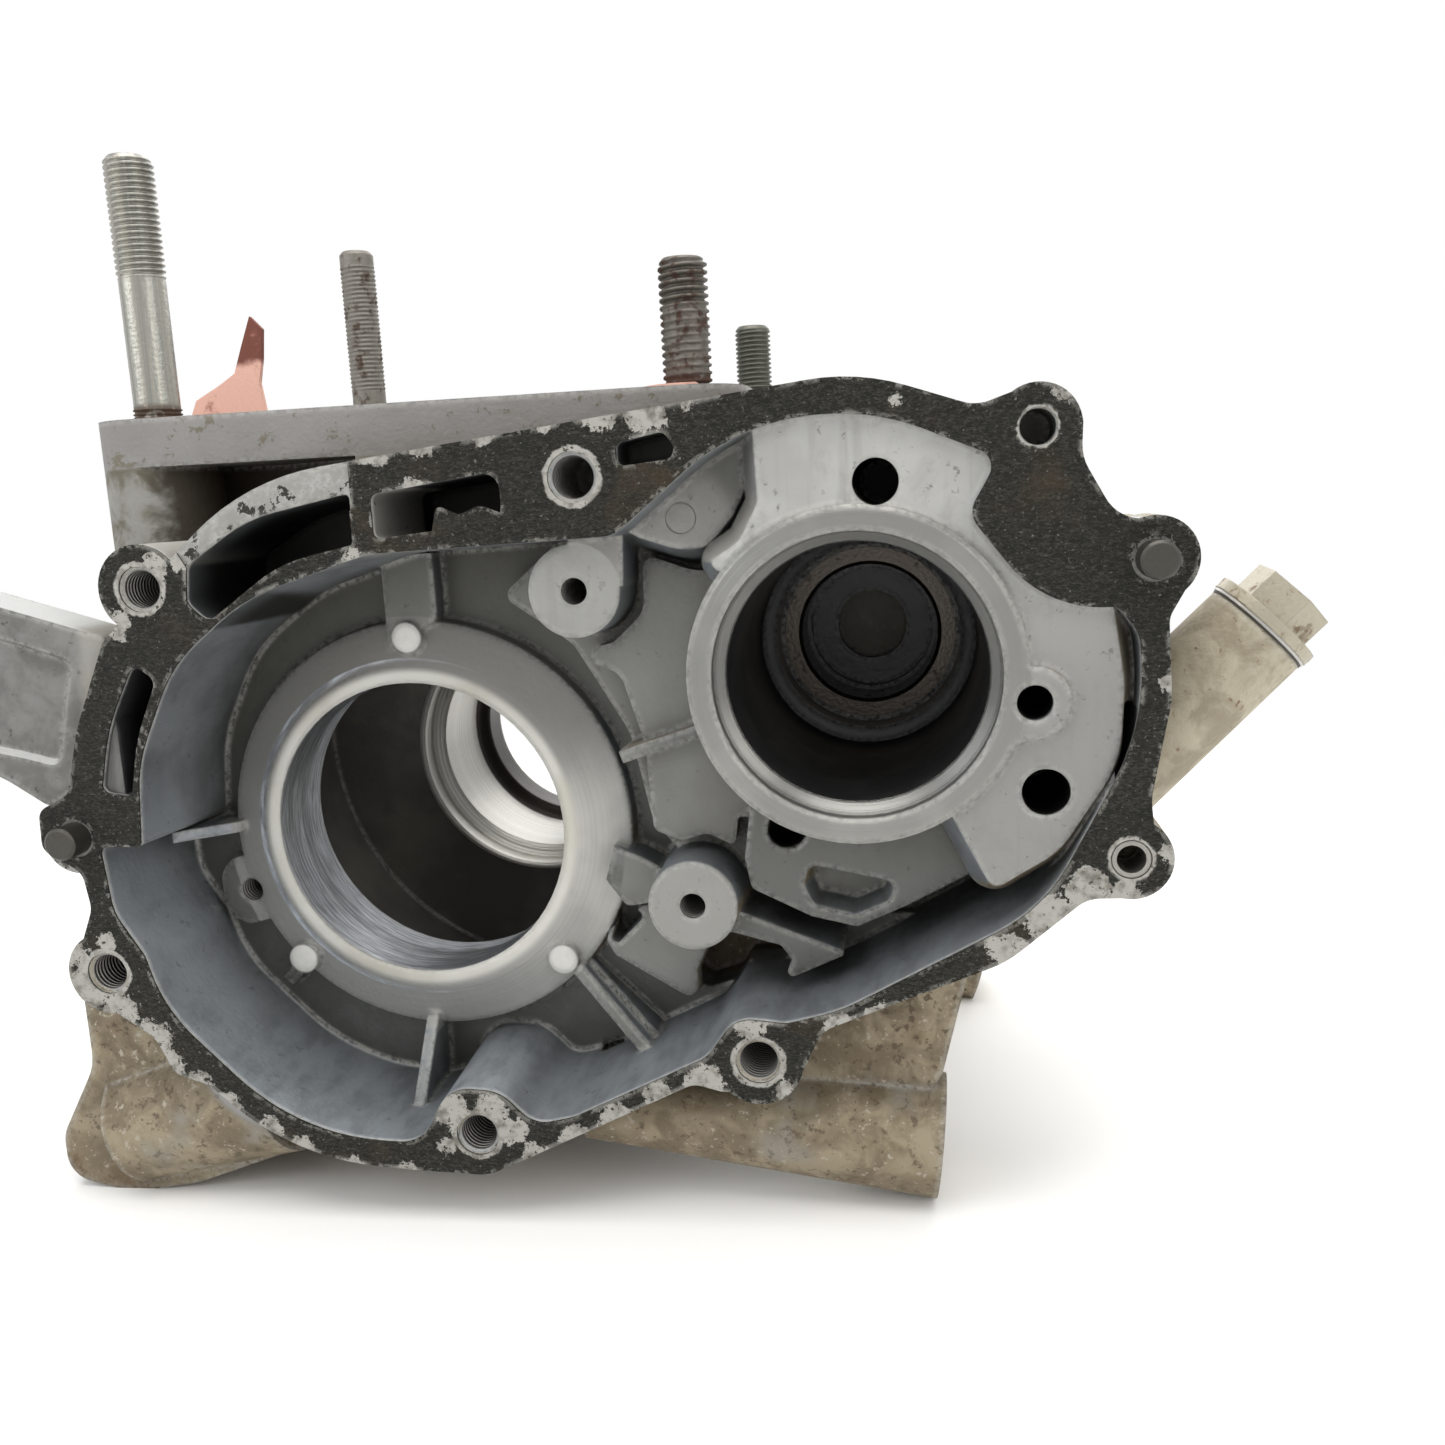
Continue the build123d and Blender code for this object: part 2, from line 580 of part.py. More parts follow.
def cylinder_stud(place, standing):
    """Stud screwed into the deck: its root in the casting, its tip chamfered."""
    x, y = stud_places()[place]
    shank = Cylinder(stud_d / 2, standing, align=(Align.CENTER, Align.CENTER, Align.MIN))
    shank = chamfer(shank.edges().group_by(Axis.Z)[-1], stud_tip)
    root = Cylinder(stud_seat_d / 2, stud_seat_depth, align=(Align.CENTER, Align.CENTER, Align.MAX))
    return Pos(x, y, deck_z) * (shank + root)


def dowel(centre):
    """Pin standing out of the joint face, with a slightly thinner root pressed into the casting."""
    pin = rod(centre, dowel_d, cover_y - dowel_standing, cover_y)
    pin = chamfer(pin.edges().group_by(Axis.Y)[0], dowel_tip)
    return pin + rod(centre, dowel_seat_d, cover_y, cover_y + dowel_seat_depth)


def dowel_sleeve():
    front = cover_y - sleeve_standing
    back = cover_y + sleeve_length
    return rod(sleeve_seat, sleeve_d, front, back) - rod(sleeve_seat, sleeve_bore_d, front, back)


def filler_plug():
    """Hexagon plug: shank in the neck, round flange and hexagon head."""
    seat = seal_t + washer_t
    body = extrude(neck_plane(seat) * Circle(plug_flange_d / 2), amount=plug_flange_t)
    hexagon = RegularPolygon(plug_hex / 2, 6, major_radius=False, rotation=plug_hex_turn)
    body += extrude(neck_plane(seat + plug_flange_t) * hexagon, amount=plug_hex_t)
    return body + extrude(neck_plane(seat) * Circle(plug_shank_d / 2), amount=-(plug_shank_l + seat))


def plug_ring(diameter, low, thickness):
    face = Circle(diameter / 2) - Circle(plug_shank_d / 2)
    return extrude(neck_plane(low) * face, amount=thickness)


def bearing_race():
    section = [(race_bore_d / 2 + 0.8, shaft_step_end), (race_d / 2, shaft_step_end),
               (race_d / 2, shaft_step_end + race_length), (race_bore_d / 2, shaft_step_end + race_length),
               (race_bore_d / 2, shaft_step_end + 0.8)]
    return turned((shaft_x, shaft_z), section)


def cover_gasket():
    """Remains of the cover gasket: the flange shape less its holes and less what has torn away."""
    top = cover_y - gasket_t
    kept = flange_outline()
    for centre in cover_bolts:
        kept += disc(centre, 2 * cover_lobe_r)
    for centre in [through_lobe, right_dowel, sleeve_seat]:
        kept += disc(centre, 2 * pin_lobe_r)
    kept -= cavity_outline()
    for centre in cover_bolts:
        kept -= disc(centre, cover_thread_d + 2 * thread_mouth + gasket_gap)
    kept -= disc(top_hole, top_hole_d + 2 * thread_mouth + gasket_gap)
    kept -= disc(through_lobe, through_hole_d + gasket_gap)
    kept -= disc(right_dowel, dowel_d + gasket_dowel_gap)
    kept -= disc(left_dowel, dowel_d + gasket_dowel_gap)
    kept -= disc(sleeve_seat, sleeve_d + gasket_gap)
    long_window, middle_window, small_window, left_window = window_outlines()
    flap = outline([(17.4, 60, 1), (19, 66.4, 1), (23, 64.4, 2), (27, 66, 2), (32, 64, 1), (32, 60, 1)])
    kept -= long_window + (middle_window - flap) + small_window + left_window
    bare_rim = outline([(-33, 61.4, 1), (-19, 74.5, 50), (3, 78, 1), (3, 66, 1), (-18, 64, 30), (-30, 56, 1)])
    return slab(kept - bare_rim, top, cover_y)


def gasket_scrap():
    """Torn corner of the base gasket that stands up behind the front left stud."""
    shape = [(-67, 0), (-46.4, 0), (-47.6, 9.6), (-46.4, 15), (-45.6, 21.6), (-48.4, 24.6), (-51.2, 18),
             (-53.6, 12), (-58, 9.4), (-64, 6.4)]
    face = make_face(Polyline(*shape, close=True))
    return extrude(at_depth(scrap_y) * Pos(0, deck_z) * face, amount=scrap_t / 2, both=True)


def gasket_sliver():
    """Torn half ring of the base gasket left at the front right stud."""
    ring = Circle(sliver_d / 2) - Circle(sliver_bore_d / 2)
    half = ring & (Pos(-4, -5) * Rectangle(14, 9))
    x, y = stud_places()["front_right"]
    return extrude(Pos(x, y, deck_z) * half, amount=sliver_t)


def build():
    return {
        "crankcase_casting": crankcase_casting(),
        "cylinder_stud_front_left": cylinder_stud("front_left", long_stud),
        "cylinder_stud_rear_left": cylinder_stud("rear_left", long_stud),
        "cylinder_stud_front_right": cylinder_stud("front_right", short_stud),
        "cylinder_stud_rear_right": cylinder_stud("rear_right", short_stud),
        "cover_dowel_left": dowel(left_dowel),
        "cover_dowel_right": dowel(right_dowel),
        "cover_dowel_sleeve": dowel_sleeve(),
        "filler_plug": filler_plug(),
        "filler_plug_washer": plug_ring(washer_d, seal_t, washer_t),
        "filler_plug_seal": plug_ring(seal_d, 0.0, seal_t),
        "shaft_bearing_race": bearing_race(),
        "cover_gasket_remains": cover_gasket(),
        "base_gasket_scrap": gasket_scrap(),
        "base_gasket_sliver": gasket_sliver(),
    }


for node, shape in build().items():
    export_step(shape, f"parts/{node}.step")
    print(node, round(shape.volume / 1000, 2), "cm3", len(shape.solids()), "solids")
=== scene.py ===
import bpy
import bmesh
from math import cos, pi, radians, sin, tan
from mathutils import Matrix, Vector, noise


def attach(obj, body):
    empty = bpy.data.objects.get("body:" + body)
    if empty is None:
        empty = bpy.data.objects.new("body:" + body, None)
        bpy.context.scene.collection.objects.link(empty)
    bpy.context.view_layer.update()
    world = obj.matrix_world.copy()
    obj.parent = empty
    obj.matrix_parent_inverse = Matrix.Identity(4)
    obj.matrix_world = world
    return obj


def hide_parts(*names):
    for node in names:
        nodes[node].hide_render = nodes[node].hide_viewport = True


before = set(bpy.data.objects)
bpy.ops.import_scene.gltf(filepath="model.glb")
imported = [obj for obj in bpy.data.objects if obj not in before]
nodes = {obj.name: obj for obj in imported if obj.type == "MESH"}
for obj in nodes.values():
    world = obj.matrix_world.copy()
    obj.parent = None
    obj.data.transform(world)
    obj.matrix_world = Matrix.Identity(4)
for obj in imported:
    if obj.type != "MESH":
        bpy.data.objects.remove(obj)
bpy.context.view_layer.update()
mm = 0.001
print("frame loaded")

# places that the materials and the pieces share, in millimetres as in the part
coverY = -24.2
gasketY = -24.7
deckZ = 87.2
shaftCentre = (92.6, 33.1)
coverBolts = [(-40.5, 53.5), (-58.0, -22.5), (16.5, -55.0), (72.5, -38.7)]
topHole = (44.3, 70.0)
innerBosses = [(40.6, 49.4), (59.8, -11.6)]
leftPad = (-40.2, -13.6)


# small helpers that lay out shader nodes; limits in millimetres, positions in metres
def freshMaterial(name):
    mat = bpy.data.materials.new(name)
    mat.use_nodes = True
    tree = mat.node_tree
    tree.nodes.clear()
    skin = tree.nodes.new("ShaderNodeBsdfPrincipled")
    out = tree.nodes.new("ShaderNodeOutputMaterial")
    tree.links.new(skin.outputs["BSDF"], out.inputs["Surface"])
    return mat, tree, skin


def put(tree, socket, value):
    if isinstance(value, bpy.types.NodeSocket):
        tree.links.new(value, socket)
    elif isinstance(value, tuple) and len(value) == 3 and socket.type == "RGBA":
        socket.default_value = (*value, 1.0)
    else:
        socket.default_value = value


def calc(tree, op, a, b=0.0, c=0.0, clamp=False):
    n = tree.nodes.new("ShaderNodeMath")
    n.operation = op
    n.use_clamp = clamp
    for socket, value in zip(n.inputs, (a, b, c)):
        put(tree, socket, value)
    return n.outputs[0]


def step(tree, value, low, high):
    n = tree.nodes.new("ShaderNodeMapRange")
    n.interpolation_type = "SMOOTHSTEP"
    put(tree, n.inputs["Value"], value)
    put(tree, n.inputs["From Min"], low)
    put(tree, n.inputs["From Max"], high)
    return n.outputs[0]


def below(tree, value, limit, soft=0.3):  # 1 where the value is under the limit in mm
    return step(tree, value, (limit + soft) * mm, (limit - soft) * mm)


def over(tree, value, limit, soft=0.3):
    return step(tree, value, (limit - soft) * mm, (limit + soft) * mm)


def mix(tree, share, a, b):
    n = tree.nodes.new("ShaderNodeMix")
    n.data_type = "RGBA"
    put(tree, n.inputs[0], share)
    put(tree, n.inputs[6], a)
    put(tree, n.inputs[7], b)
    return n.outputs[2]


def even(value):  # one number as a grey
    return (value, value, value)


def both(tree, *values):
    got = values[0]
    for value in values[1:]:
        got = calc(tree, "MULTIPLY", got, value)
    return got


def either(tree, *values):
    got = values[0]
    for value in values[1:]:
        got = calc(tree, "MAXIMUM", got, value)
    return got


def no(tree, value):
    return calc(tree, "SUBTRACT", 1.0, value, clamp=True)


def grain(tree, where, scale, detail=4.0, rough=0.55, twist=0.0):
    n = tree.nodes.new("ShaderNodeTexNoise")
    put(tree, n.inputs["Vector"], where)
    n.inputs["Scale"].default_value = scale
    n.inputs["Detail"].default_value = detail
    n.inputs["Roughness"].default_value = rough
    n.inputs["Distortion"].default_value = twist
    return n.outputs["Fac"]


def stretched(tree, where, factors):
    n = tree.nodes.new("ShaderNodeVectorMath")
    n.operation = "MULTIPLY"
    put(tree, n.inputs[0], where)
    n.inputs[1].default_value = factors
    return n.outputs[0]


def away(tree, flat, x, z):
    n = tree.nodes.new("ShaderNodeVectorMath")
    n.operation = "DISTANCE"
    put(tree, n.inputs[0], flat)
    n.inputs[1].default_value = (x * mm, 0, z * mm)
    return n.outputs["Value"]


def fromLine(tree, x, z, a, b):  # distance from a straight line between two places, in metres
    dx, dz = (b[0] - a[0]) * mm, (b[1] - a[1]) * mm
    px = calc(tree, "SUBTRACT", x, a[0] * mm)
    pz = calc(tree, "SUBTRACT", z, a[1] * mm)
    square = dx * dx + dz * dz
    share = calc(tree, "ADD", calc(tree, "MULTIPLY", px, dx / square), calc(tree, "MULTIPLY", pz, dz / square), clamp=True)
    ox = calc(tree, "SUBTRACT", px, calc(tree, "MULTIPLY", share, dx))
    oz = calc(tree, "SUBTRACT", pz, calc(tree, "MULTIPLY", share, dz))
    return calc(tree, "SQRT", calc(tree, "ADD", calc(tree, "MULTIPLY", ox, ox), calc(tree, "MULTIPLY", oz, oz)))


def relief(tree, height, depth, under=None):
    n = tree.nodes.new("ShaderNodeBump")
    put(tree, n.inputs["Distance"], depth)
    put(tree, n.inputs["Height"], height)
    if under is not None:
        put(tree, n.inputs["Normal"], under)
    return n.outputs[0]


def softEdge(tree, radius):
    n = tree.nodes.new("ShaderNodeBevel")
    n.samples = 3
    n.inputs["Radius"].default_value = radius
    return n.outputs[0]


def edges(tree, rounded, low=0.99, high=0.90):  # 1 at sharp edges, where the rounded normal leaves the true one
    face = tree.nodes.new("ShaderNodeNewGeometry")
    n = tree.nodes.new("ShaderNodeVectorMath")
    n.operation = "DOT_PRODUCT"
    put(tree, n.inputs[0], rounded)
    put(tree, n.inputs[1], face.outputs["True Normal"])
    return step(tree, n.outputs["Value"], low, high)


def shelter(tree, distance):  # 1 in the open, 0 in deep corners
    n = tree.nodes.new("ShaderNodeAmbientOcclusion")
    n.samples = 1
    n.only_local = True
    n.inputs["Distance"].default_value = distance
    return n.outputs["AO"]


def coordinates(tree):
    n = tree.nodes.new("ShaderNodeTexCoord")
    where = n.outputs["Object"]
    split = tree.nodes.new("ShaderNodeSeparateXYZ")
    put(tree, split.inputs[0], where)
    flat = stretched(tree, where, (1, 0, 1))
    return where, flat, split.outputs[0], split.outputs[1], split.outputs[2], n.outputs["Normal"]


def dress(name, mat):
    obj = nodes[name]
    if not obj.material_slots:
        obj.data.materials.append(mat)
    for s in obj.material_slots:
        s.material = mat


# the camera stands where the photograph was taken; places in metres
cameraLook = {"lens": 31.95, "sensor": 36, "nearest": 0.01, "place": (0.104, -0.24701, 0.0656),
              "right": (0.9879, 0.1474, -0.0484), "ahead": (-0.1537, 0.9726, -0.1742)}


def placeCamera(look):
    lens = bpy.data.cameras.new("photoCamera")
    lens.sensor_width = look["sensor"]
    lens.lens = look["lens"]
    lens.clip_start = look["nearest"]
    obj = bpy.data.objects.new("photoCamera", lens)
    bpy.context.scene.collection.objects.link(obj)
    right = Vector(look["right"]).normalized()
    ahead = Vector(look["ahead"])
    ahead = (ahead - right * ahead.dot(right)).normalized()
    up = right.cross(ahead)
    turn = Matrix((right, up, -ahead)).transposed().to_4x4()
    obj.matrix_world = Matrix.Translation(look["place"]) @ turn
    bpy.context.scene.camera = obj


placeCamera(cameraLook)
bpy.context.scene.view_settings.view_transform = "Standard"

# one sheet of paper: a floor that curves up into a backdrop, in metres
sheetLook = {"lean": 0.8, "footX": -65 * mm, "floorZ": -75.02 * mm, "near": -2.0, "bend": 0.9, "curve": 0.5, "top": 2.4,
             "flatBelow": 0.4, "halfWidth": 3.0,
             "warm": (0.84, 0.835, 0.82), "pale": (0.92, 0.915, 0.90), "rough": 0.75, "fadeFrom": 0.26, "fadeTo": 0.62}


def seenRays(tree):  # what the camera, metal and glass see; light on the casting is left alone
    path = tree.nodes.new("ShaderNodeLightPath")
    return either(tree, *[path.outputs[ray] for ray in ("Is Camera Ray", "Is Glossy Ray", "Is Transmission Ray")])


def studioSheet(look):
    lean = tan(radians(look["lean"]))  # the casting stands on a lower left foot
    profile = [(look["near"], 0.0), (look["bend"], 0.0)]
    for turned in range(10, 91, 10):
        profile.append((look["bend"] + look["curve"] * sin(radians(turned)), look["curve"] * (1 - cos(radians(turned)))))
    profile.append((look["bend"] + look["curve"], look["top"]))
    bm = bmesh.new()
    rows = []
    for y, z in profile:
        tilt = lean if z < look["flatBelow"] else 0
        sides = (-look["halfWidth"], look["halfWidth"])
        rows.append([bm.verts.new((x, y, look["floorZ"] + z + (x - look["footX"]) * tilt)) for x in sides])
    for a, b in zip(rows, rows[1:]):
        bm.faces.new((a[0], a[1], b[1], b[0]))
    mesh = bpy.data.meshes.new("studioSheet")
    bm.to_mesh(mesh)
    bm.free()
    for p in mesh.polygons:
        p.use_smooth = True
    obj = bpy.data.objects.new("studioSheet", mesh)
    bpy.context.scene.collection.objects.link(obj)
    mat, tree, skin = freshMaterial("palePaper")
    where, flat, x, y, z, normal = coordinates(tree)
    put(tree, skin.inputs["Base Color"], mix(tree, grain(tree, where, 9.0, 3), look["warm"], look["pale"]))
    skin.inputs["Roughness"].default_value = look["rough"]
    glow = tree.nodes.new("ShaderNodeEmission")
    join = tree.nodes.new("ShaderNodeMixShader")
    seen = seenRays(tree)
    span = calc(tree, "SQRT", calc(tree, "ADD", calc(tree, "MULTIPLY", x, x), calc(tree, "MULTIPLY", y, y)))
    far = step(tree, span, look["fadeFrom"], look["fadeTo"])  # the paper fades to plain white away from the casting
    put(tree, join.inputs[0], both(tree, seen, far))
    tree.links.new(skin.outputs[0], join.inputs[1])
    tree.links.new(glow.outputs[0], join.inputs[2])
    out = [node for node in tree.nodes if node.type == "OUTPUT_MATERIAL"][0]
    tree.links.new(join.outputs[0], out.inputs["Surface"])
    mesh.materials.append(mat)


studioSheet(sheetLook)

# soft light from all round, dimmer near the floor; strengths by the height of the direction
worldLook = {"tint": (0.95, 0.97, 1.0, 1), "white": (1, 1, 1, 1), "dim": 0.27, "rise": 0.50, "from": -0.05, "to": 0.7}


def studioWorld(look):
    world = bpy.data.worlds.new("studioWorld")
    bpy.context.scene.world = world
    world.use_nodes = True
    tree = world.node_tree
    tree.nodes.clear()
    sky = tree.nodes.new("ShaderNodeBackground")
    white = tree.nodes.new("ShaderNodeBackground")
    join = tree.nodes.new("ShaderNodeMixShader")
    out = tree.nodes.new("ShaderNodeOutputWorld")
    around = tree.nodes.new("ShaderNodeTexCoord")
    height = tree.nodes.new("ShaderNodeSeparateXYZ")
    tree.links.new(around.outputs["Generated"], height.inputs[0])
    up = step(tree, height.outputs[2], look["from"], look["to"])
    sky.inputs[0].default_value = look["tint"]
    put(tree, sky.inputs[1], calc(tree, "ADD", look["dim"], calc(tree, "MULTIPLY", up, look["rise"])))
    white.inputs[0].default_value = look["white"]
    put(tree, join.inputs[0], seenRays(tree))
    tree.links.new(sky.outputs[0], join.inputs[1])
    tree.links.new(white.outputs[0], join.inputs[2])
    tree.links.new(join.outputs[0], out.inputs[0])


studioWorld(worldLook)

lampLooks = [
    {"name": "overhead", "place": (0.05, -0.15, 1.1), "aim": (0.04, 0.0, 0.0), "size": 1.0, "watts": 12.0, "tint": (1.0, 0.985, 0.96)},
    {"name": "leftWindow", "place": (-0.9, -0.7, 0.55), "aim": (0.03, 0.0, 0.02), "size": 0.7, "watts": 5.0, "tint": (0.95, 0.975, 1.0)},
    {"name": "rightPanel", "place": (1.0, -0.55, 0.5), "aim": (0.06, 0.0, 0.02), "size": 0.8, "watts": 4.0, "tint": (1.0, 0.98, 0.95)},
    {"name": "backPanel", "place": (0.1, 0.9, 0.7), "aim": (0.04, 0.05, 0.05), "size": 0.9, "watts": 5.0, "tint": (1.0, 1.0, 1.0)}]


def placeLamp(look):
    light = bpy.data.lights.new(look["name"], "AREA")
    light.size = look["size"]
    light.energy = look["watts"]
    light.color = look["tint"]
    obj = bpy.data.objects.new(look["name"], light)
    obj.location = look["place"]
    obj.rotation_euler = (Vector(look["aim"]) - Vector(look["place"])).to_track_quat("-Z", "Y").to_euler()
    bpy.context.scene.collection.objects.link(obj)


for look in lampLooks:
    placeLamp(look)
print("camera, floor and light placed")


castLook = {
    # cavity walls, floor and web
    "wallBlue": (0.30, 0.325, 0.35), "wallDark": (0.17, 0.18, 0.19), "wallPale": (0.40, 0.425, 0.445),
    "floorGrey": (0.115, 0.115, 0.105), "floorPale": (0.165, 0.167, 0.158), "floorDeep": (0.085, 0.087, 0.084),
    "channel": (0.060, 0.058, 0.046), "web": (0.19, 0.19, 0.178), "webStain": (0.135, 0.132, 0.118),
    "lowStep": (0.125, 0.125, 0.118), "shelf": (0.30, 0.295, 0.28), "soot": (0.030, 0.026, 0.020), "cornerDark": (0.034, 0.031, 0.024),
    # machined and pale faces
    "ring": (0.245, 0.242, 0.228), "ringDark": (0.215, 0.215, 0.208), "ringPale": (0.36, 0.358, 0.34),
    "plateau": (0.42, 0.416, 0.398), "plateauLow": (0.25, 0.247, 0.237), "plateauPatch": (0.25, 0.246, 0.232),
    "plateauDrip": (0.20, 0.197, 0.186), "plateauStain": (0.21, 0.205, 0.188), "plateauSpeck": (0.10, 0.095, 0.085),
    "boss": (0.285, 0.281, 0.263), "cone": (0.47, 0.46, 0.43), "coneMid": (0.27, 0.268, 0.255), "coneDark": (0.19, 0.185, 0.172),
    "coneTurned": (0.16, 0.158, 0.15), "polished": (0.60, 0.59, 0.55), "polishedDull": (0.40, 0.375, 0.30),
    "disc": (0.66, 0.65, 0.62), "discGrey": (0.42, 0.41, 0.38),
    # bores, chamber, windows and threads
    "bore": (0.034, 0.034, 0.036), "boreDull": (0.075, 0.074, 0.074), "chamber": (0.15, 0.143, 0.133), "chamberPale": (0.20, 0.19, 0.17),
    "brushedDark": (0.25, 0.255, 0.27), "brushedPale": (0.62, 0.65, 0.69), "band": (0.07, 0.072, 0.078),
    "rearPale": (0.56, 0.55, 0.51), "rearGrey": (0.30, 0.29, 0.265), "rearDark": (0.035, 0.030, 0.025),
    "bared": (0.46, 0.45, 0.42), "baredSpeck": (0.05, 0.045, 0.04), "window": (0.016, 0.015, 0.014), "oilWay": (0.010, 0.009, 0.009),
    "threadRoot": (0.09, 0.082, 0.075), "threadCrest": (0.34, 0.33, 0.31),
    # joint face
    "joint": (0.28, 0.275, 0.255), "jointPale": (0.40, 0.395, 0.38), "jointFleck": (0.030, 0.028, 0.023),
    # outside: dirt, neck, deck and arm
    "clean": (0.34, 0.325, 0.29), "cleanDark": (0.25, 0.245, 0.23), "dirt": (0.16, 0.125, 0.078), "paleDirt": (0.36, 0.305, 0.21),
    "rust": (0.14, 0.070, 0.030), "pit": (0.070, 0.048, 0.028), "crust": (0.46, 0.42, 0.34), "edge": (0.62, 0.61, 0.57),
    "neck": (0.42, 0.38, 0.29), "neckDark": (0.27, 0.235, 0.17), "column": (0.28, 0.272, 0.25), "columnDark": (0.13, 0.115, 0.082),
    "oil": (0.022, 0.016, 0.010), "oilBrown": (0.055, 0.042, 0.028), "oilFaded": (0.20, 0.185, 0.15),
    "deckFront": (0.255, 0.245, 0.235), "deckFrontPatch": (0.20, 0.19, 0.172), "deckFrontStain": (0.14, 0.115, 0.075),
    "deckTop": (0.30, 0.29, 0.272), "deckTopStain": (0.21, 0.185, 0.15), "arm": (0.120, 0.118, 0.110), "armPale": (0.195, 0.192, 0.182),
    "armPit": (0.06, 0.053, 0.043), "armRidge": (0.52, 0.52, 0.51), "cornerBrown": (0.050, 0.038, 0.024),
    # share of bare metal by zone, then edge rounding, reach of the painted shade and grime in corners, threads and
    # turning lines in millimetres
    "metalInside": 0.62, "metalOutside": 0.20, "metalFace": 0.45, "metalShiny": 0.85, "rounding": 2.0, "cornerReach": 13,
    "threadPitch": 1.0, "threadDepth": 0.22, "latheDepth": 0.030}
# where one finish ends and the next begins, in millimetres: radii, depths along the crank and heights
castPlaces = {
    "wideEnd": 63.5, "narrowing": 8.5, "cavityFloor": 12, "belowJoint": -24.1, "plateauBack": -20.5, "plateauFace": -22.3,
    "ringR": 30.05, "ringBack": -18.8, "lobeR": 38, "lobeBack": -23.5, "mouthR": 25.7, "mouthFront": -23.6, "mouthBack": -19.0,
    "shaftBoreR": 23.8, "shaftBoreFront": -19.2, "shaftBoreEnd": 66.4,
    "coneR": 44.6, "coneEdge": 44.5, "coneFront": -1.2, "coneBack": 4.2, "lipR": 33.6, "bossR": 8.9, "bossBack": -14,
    "discR": 3.0, "discBack": 3.5, "crankBoreR": 36, "crankBoreFront": 0.4, "crankBoreEnd": 25.9, "bandEnd": 17.5,
    "chamberR": 69, "chamberFront": 17.6, "chamberBack": 104.4, "chamberTop": 68,
    "rearR": 36.5, "rearFront": 86.5, "rearEnd": 135.4, "rearShadeFront": 121.5,
    "baredLeft": 0.5, "baredRight": 13, "baredLow": 58, "baredHigh": 70, "neckFrom": 126, "neckSum": 140, "grimeRight": 112,
    "deckLow": 77.2, "deckRight": 78, "armRight": -56, "armLow": 8, "armBack": -10}
# windows behind the joint face: a line through the middle and half the width
windowLines = [((-27, 52), (-14, 61.5), 6.6), ((-14, 61.5), (0, 64.8), 6.2), ((10, 64.8), (28, 67.5), 5.4),
               ((55, 73.8), (61, 75), 3.6), ((-51, 16), (-47, 30), 4.6), ((-47, 30), (-42.3, 37), 3.8)]
tappedHoles = [(*b, 3.75) for b in coverBolts] + [(*topHole, 3.95)] + [(*b, 2.7) for b in innerBosses + [leftPad]]
oilWayPlaces = [(97.0, 66.7, 4.2), (123.3, 27.9, 3.3), (125.2, 11.8, 4.4), (78.2, 2.6, 3.9)]
ejectorMarks = [(1.05, 40.3), (-28.7, -28.2), (29.0, -28.0)]


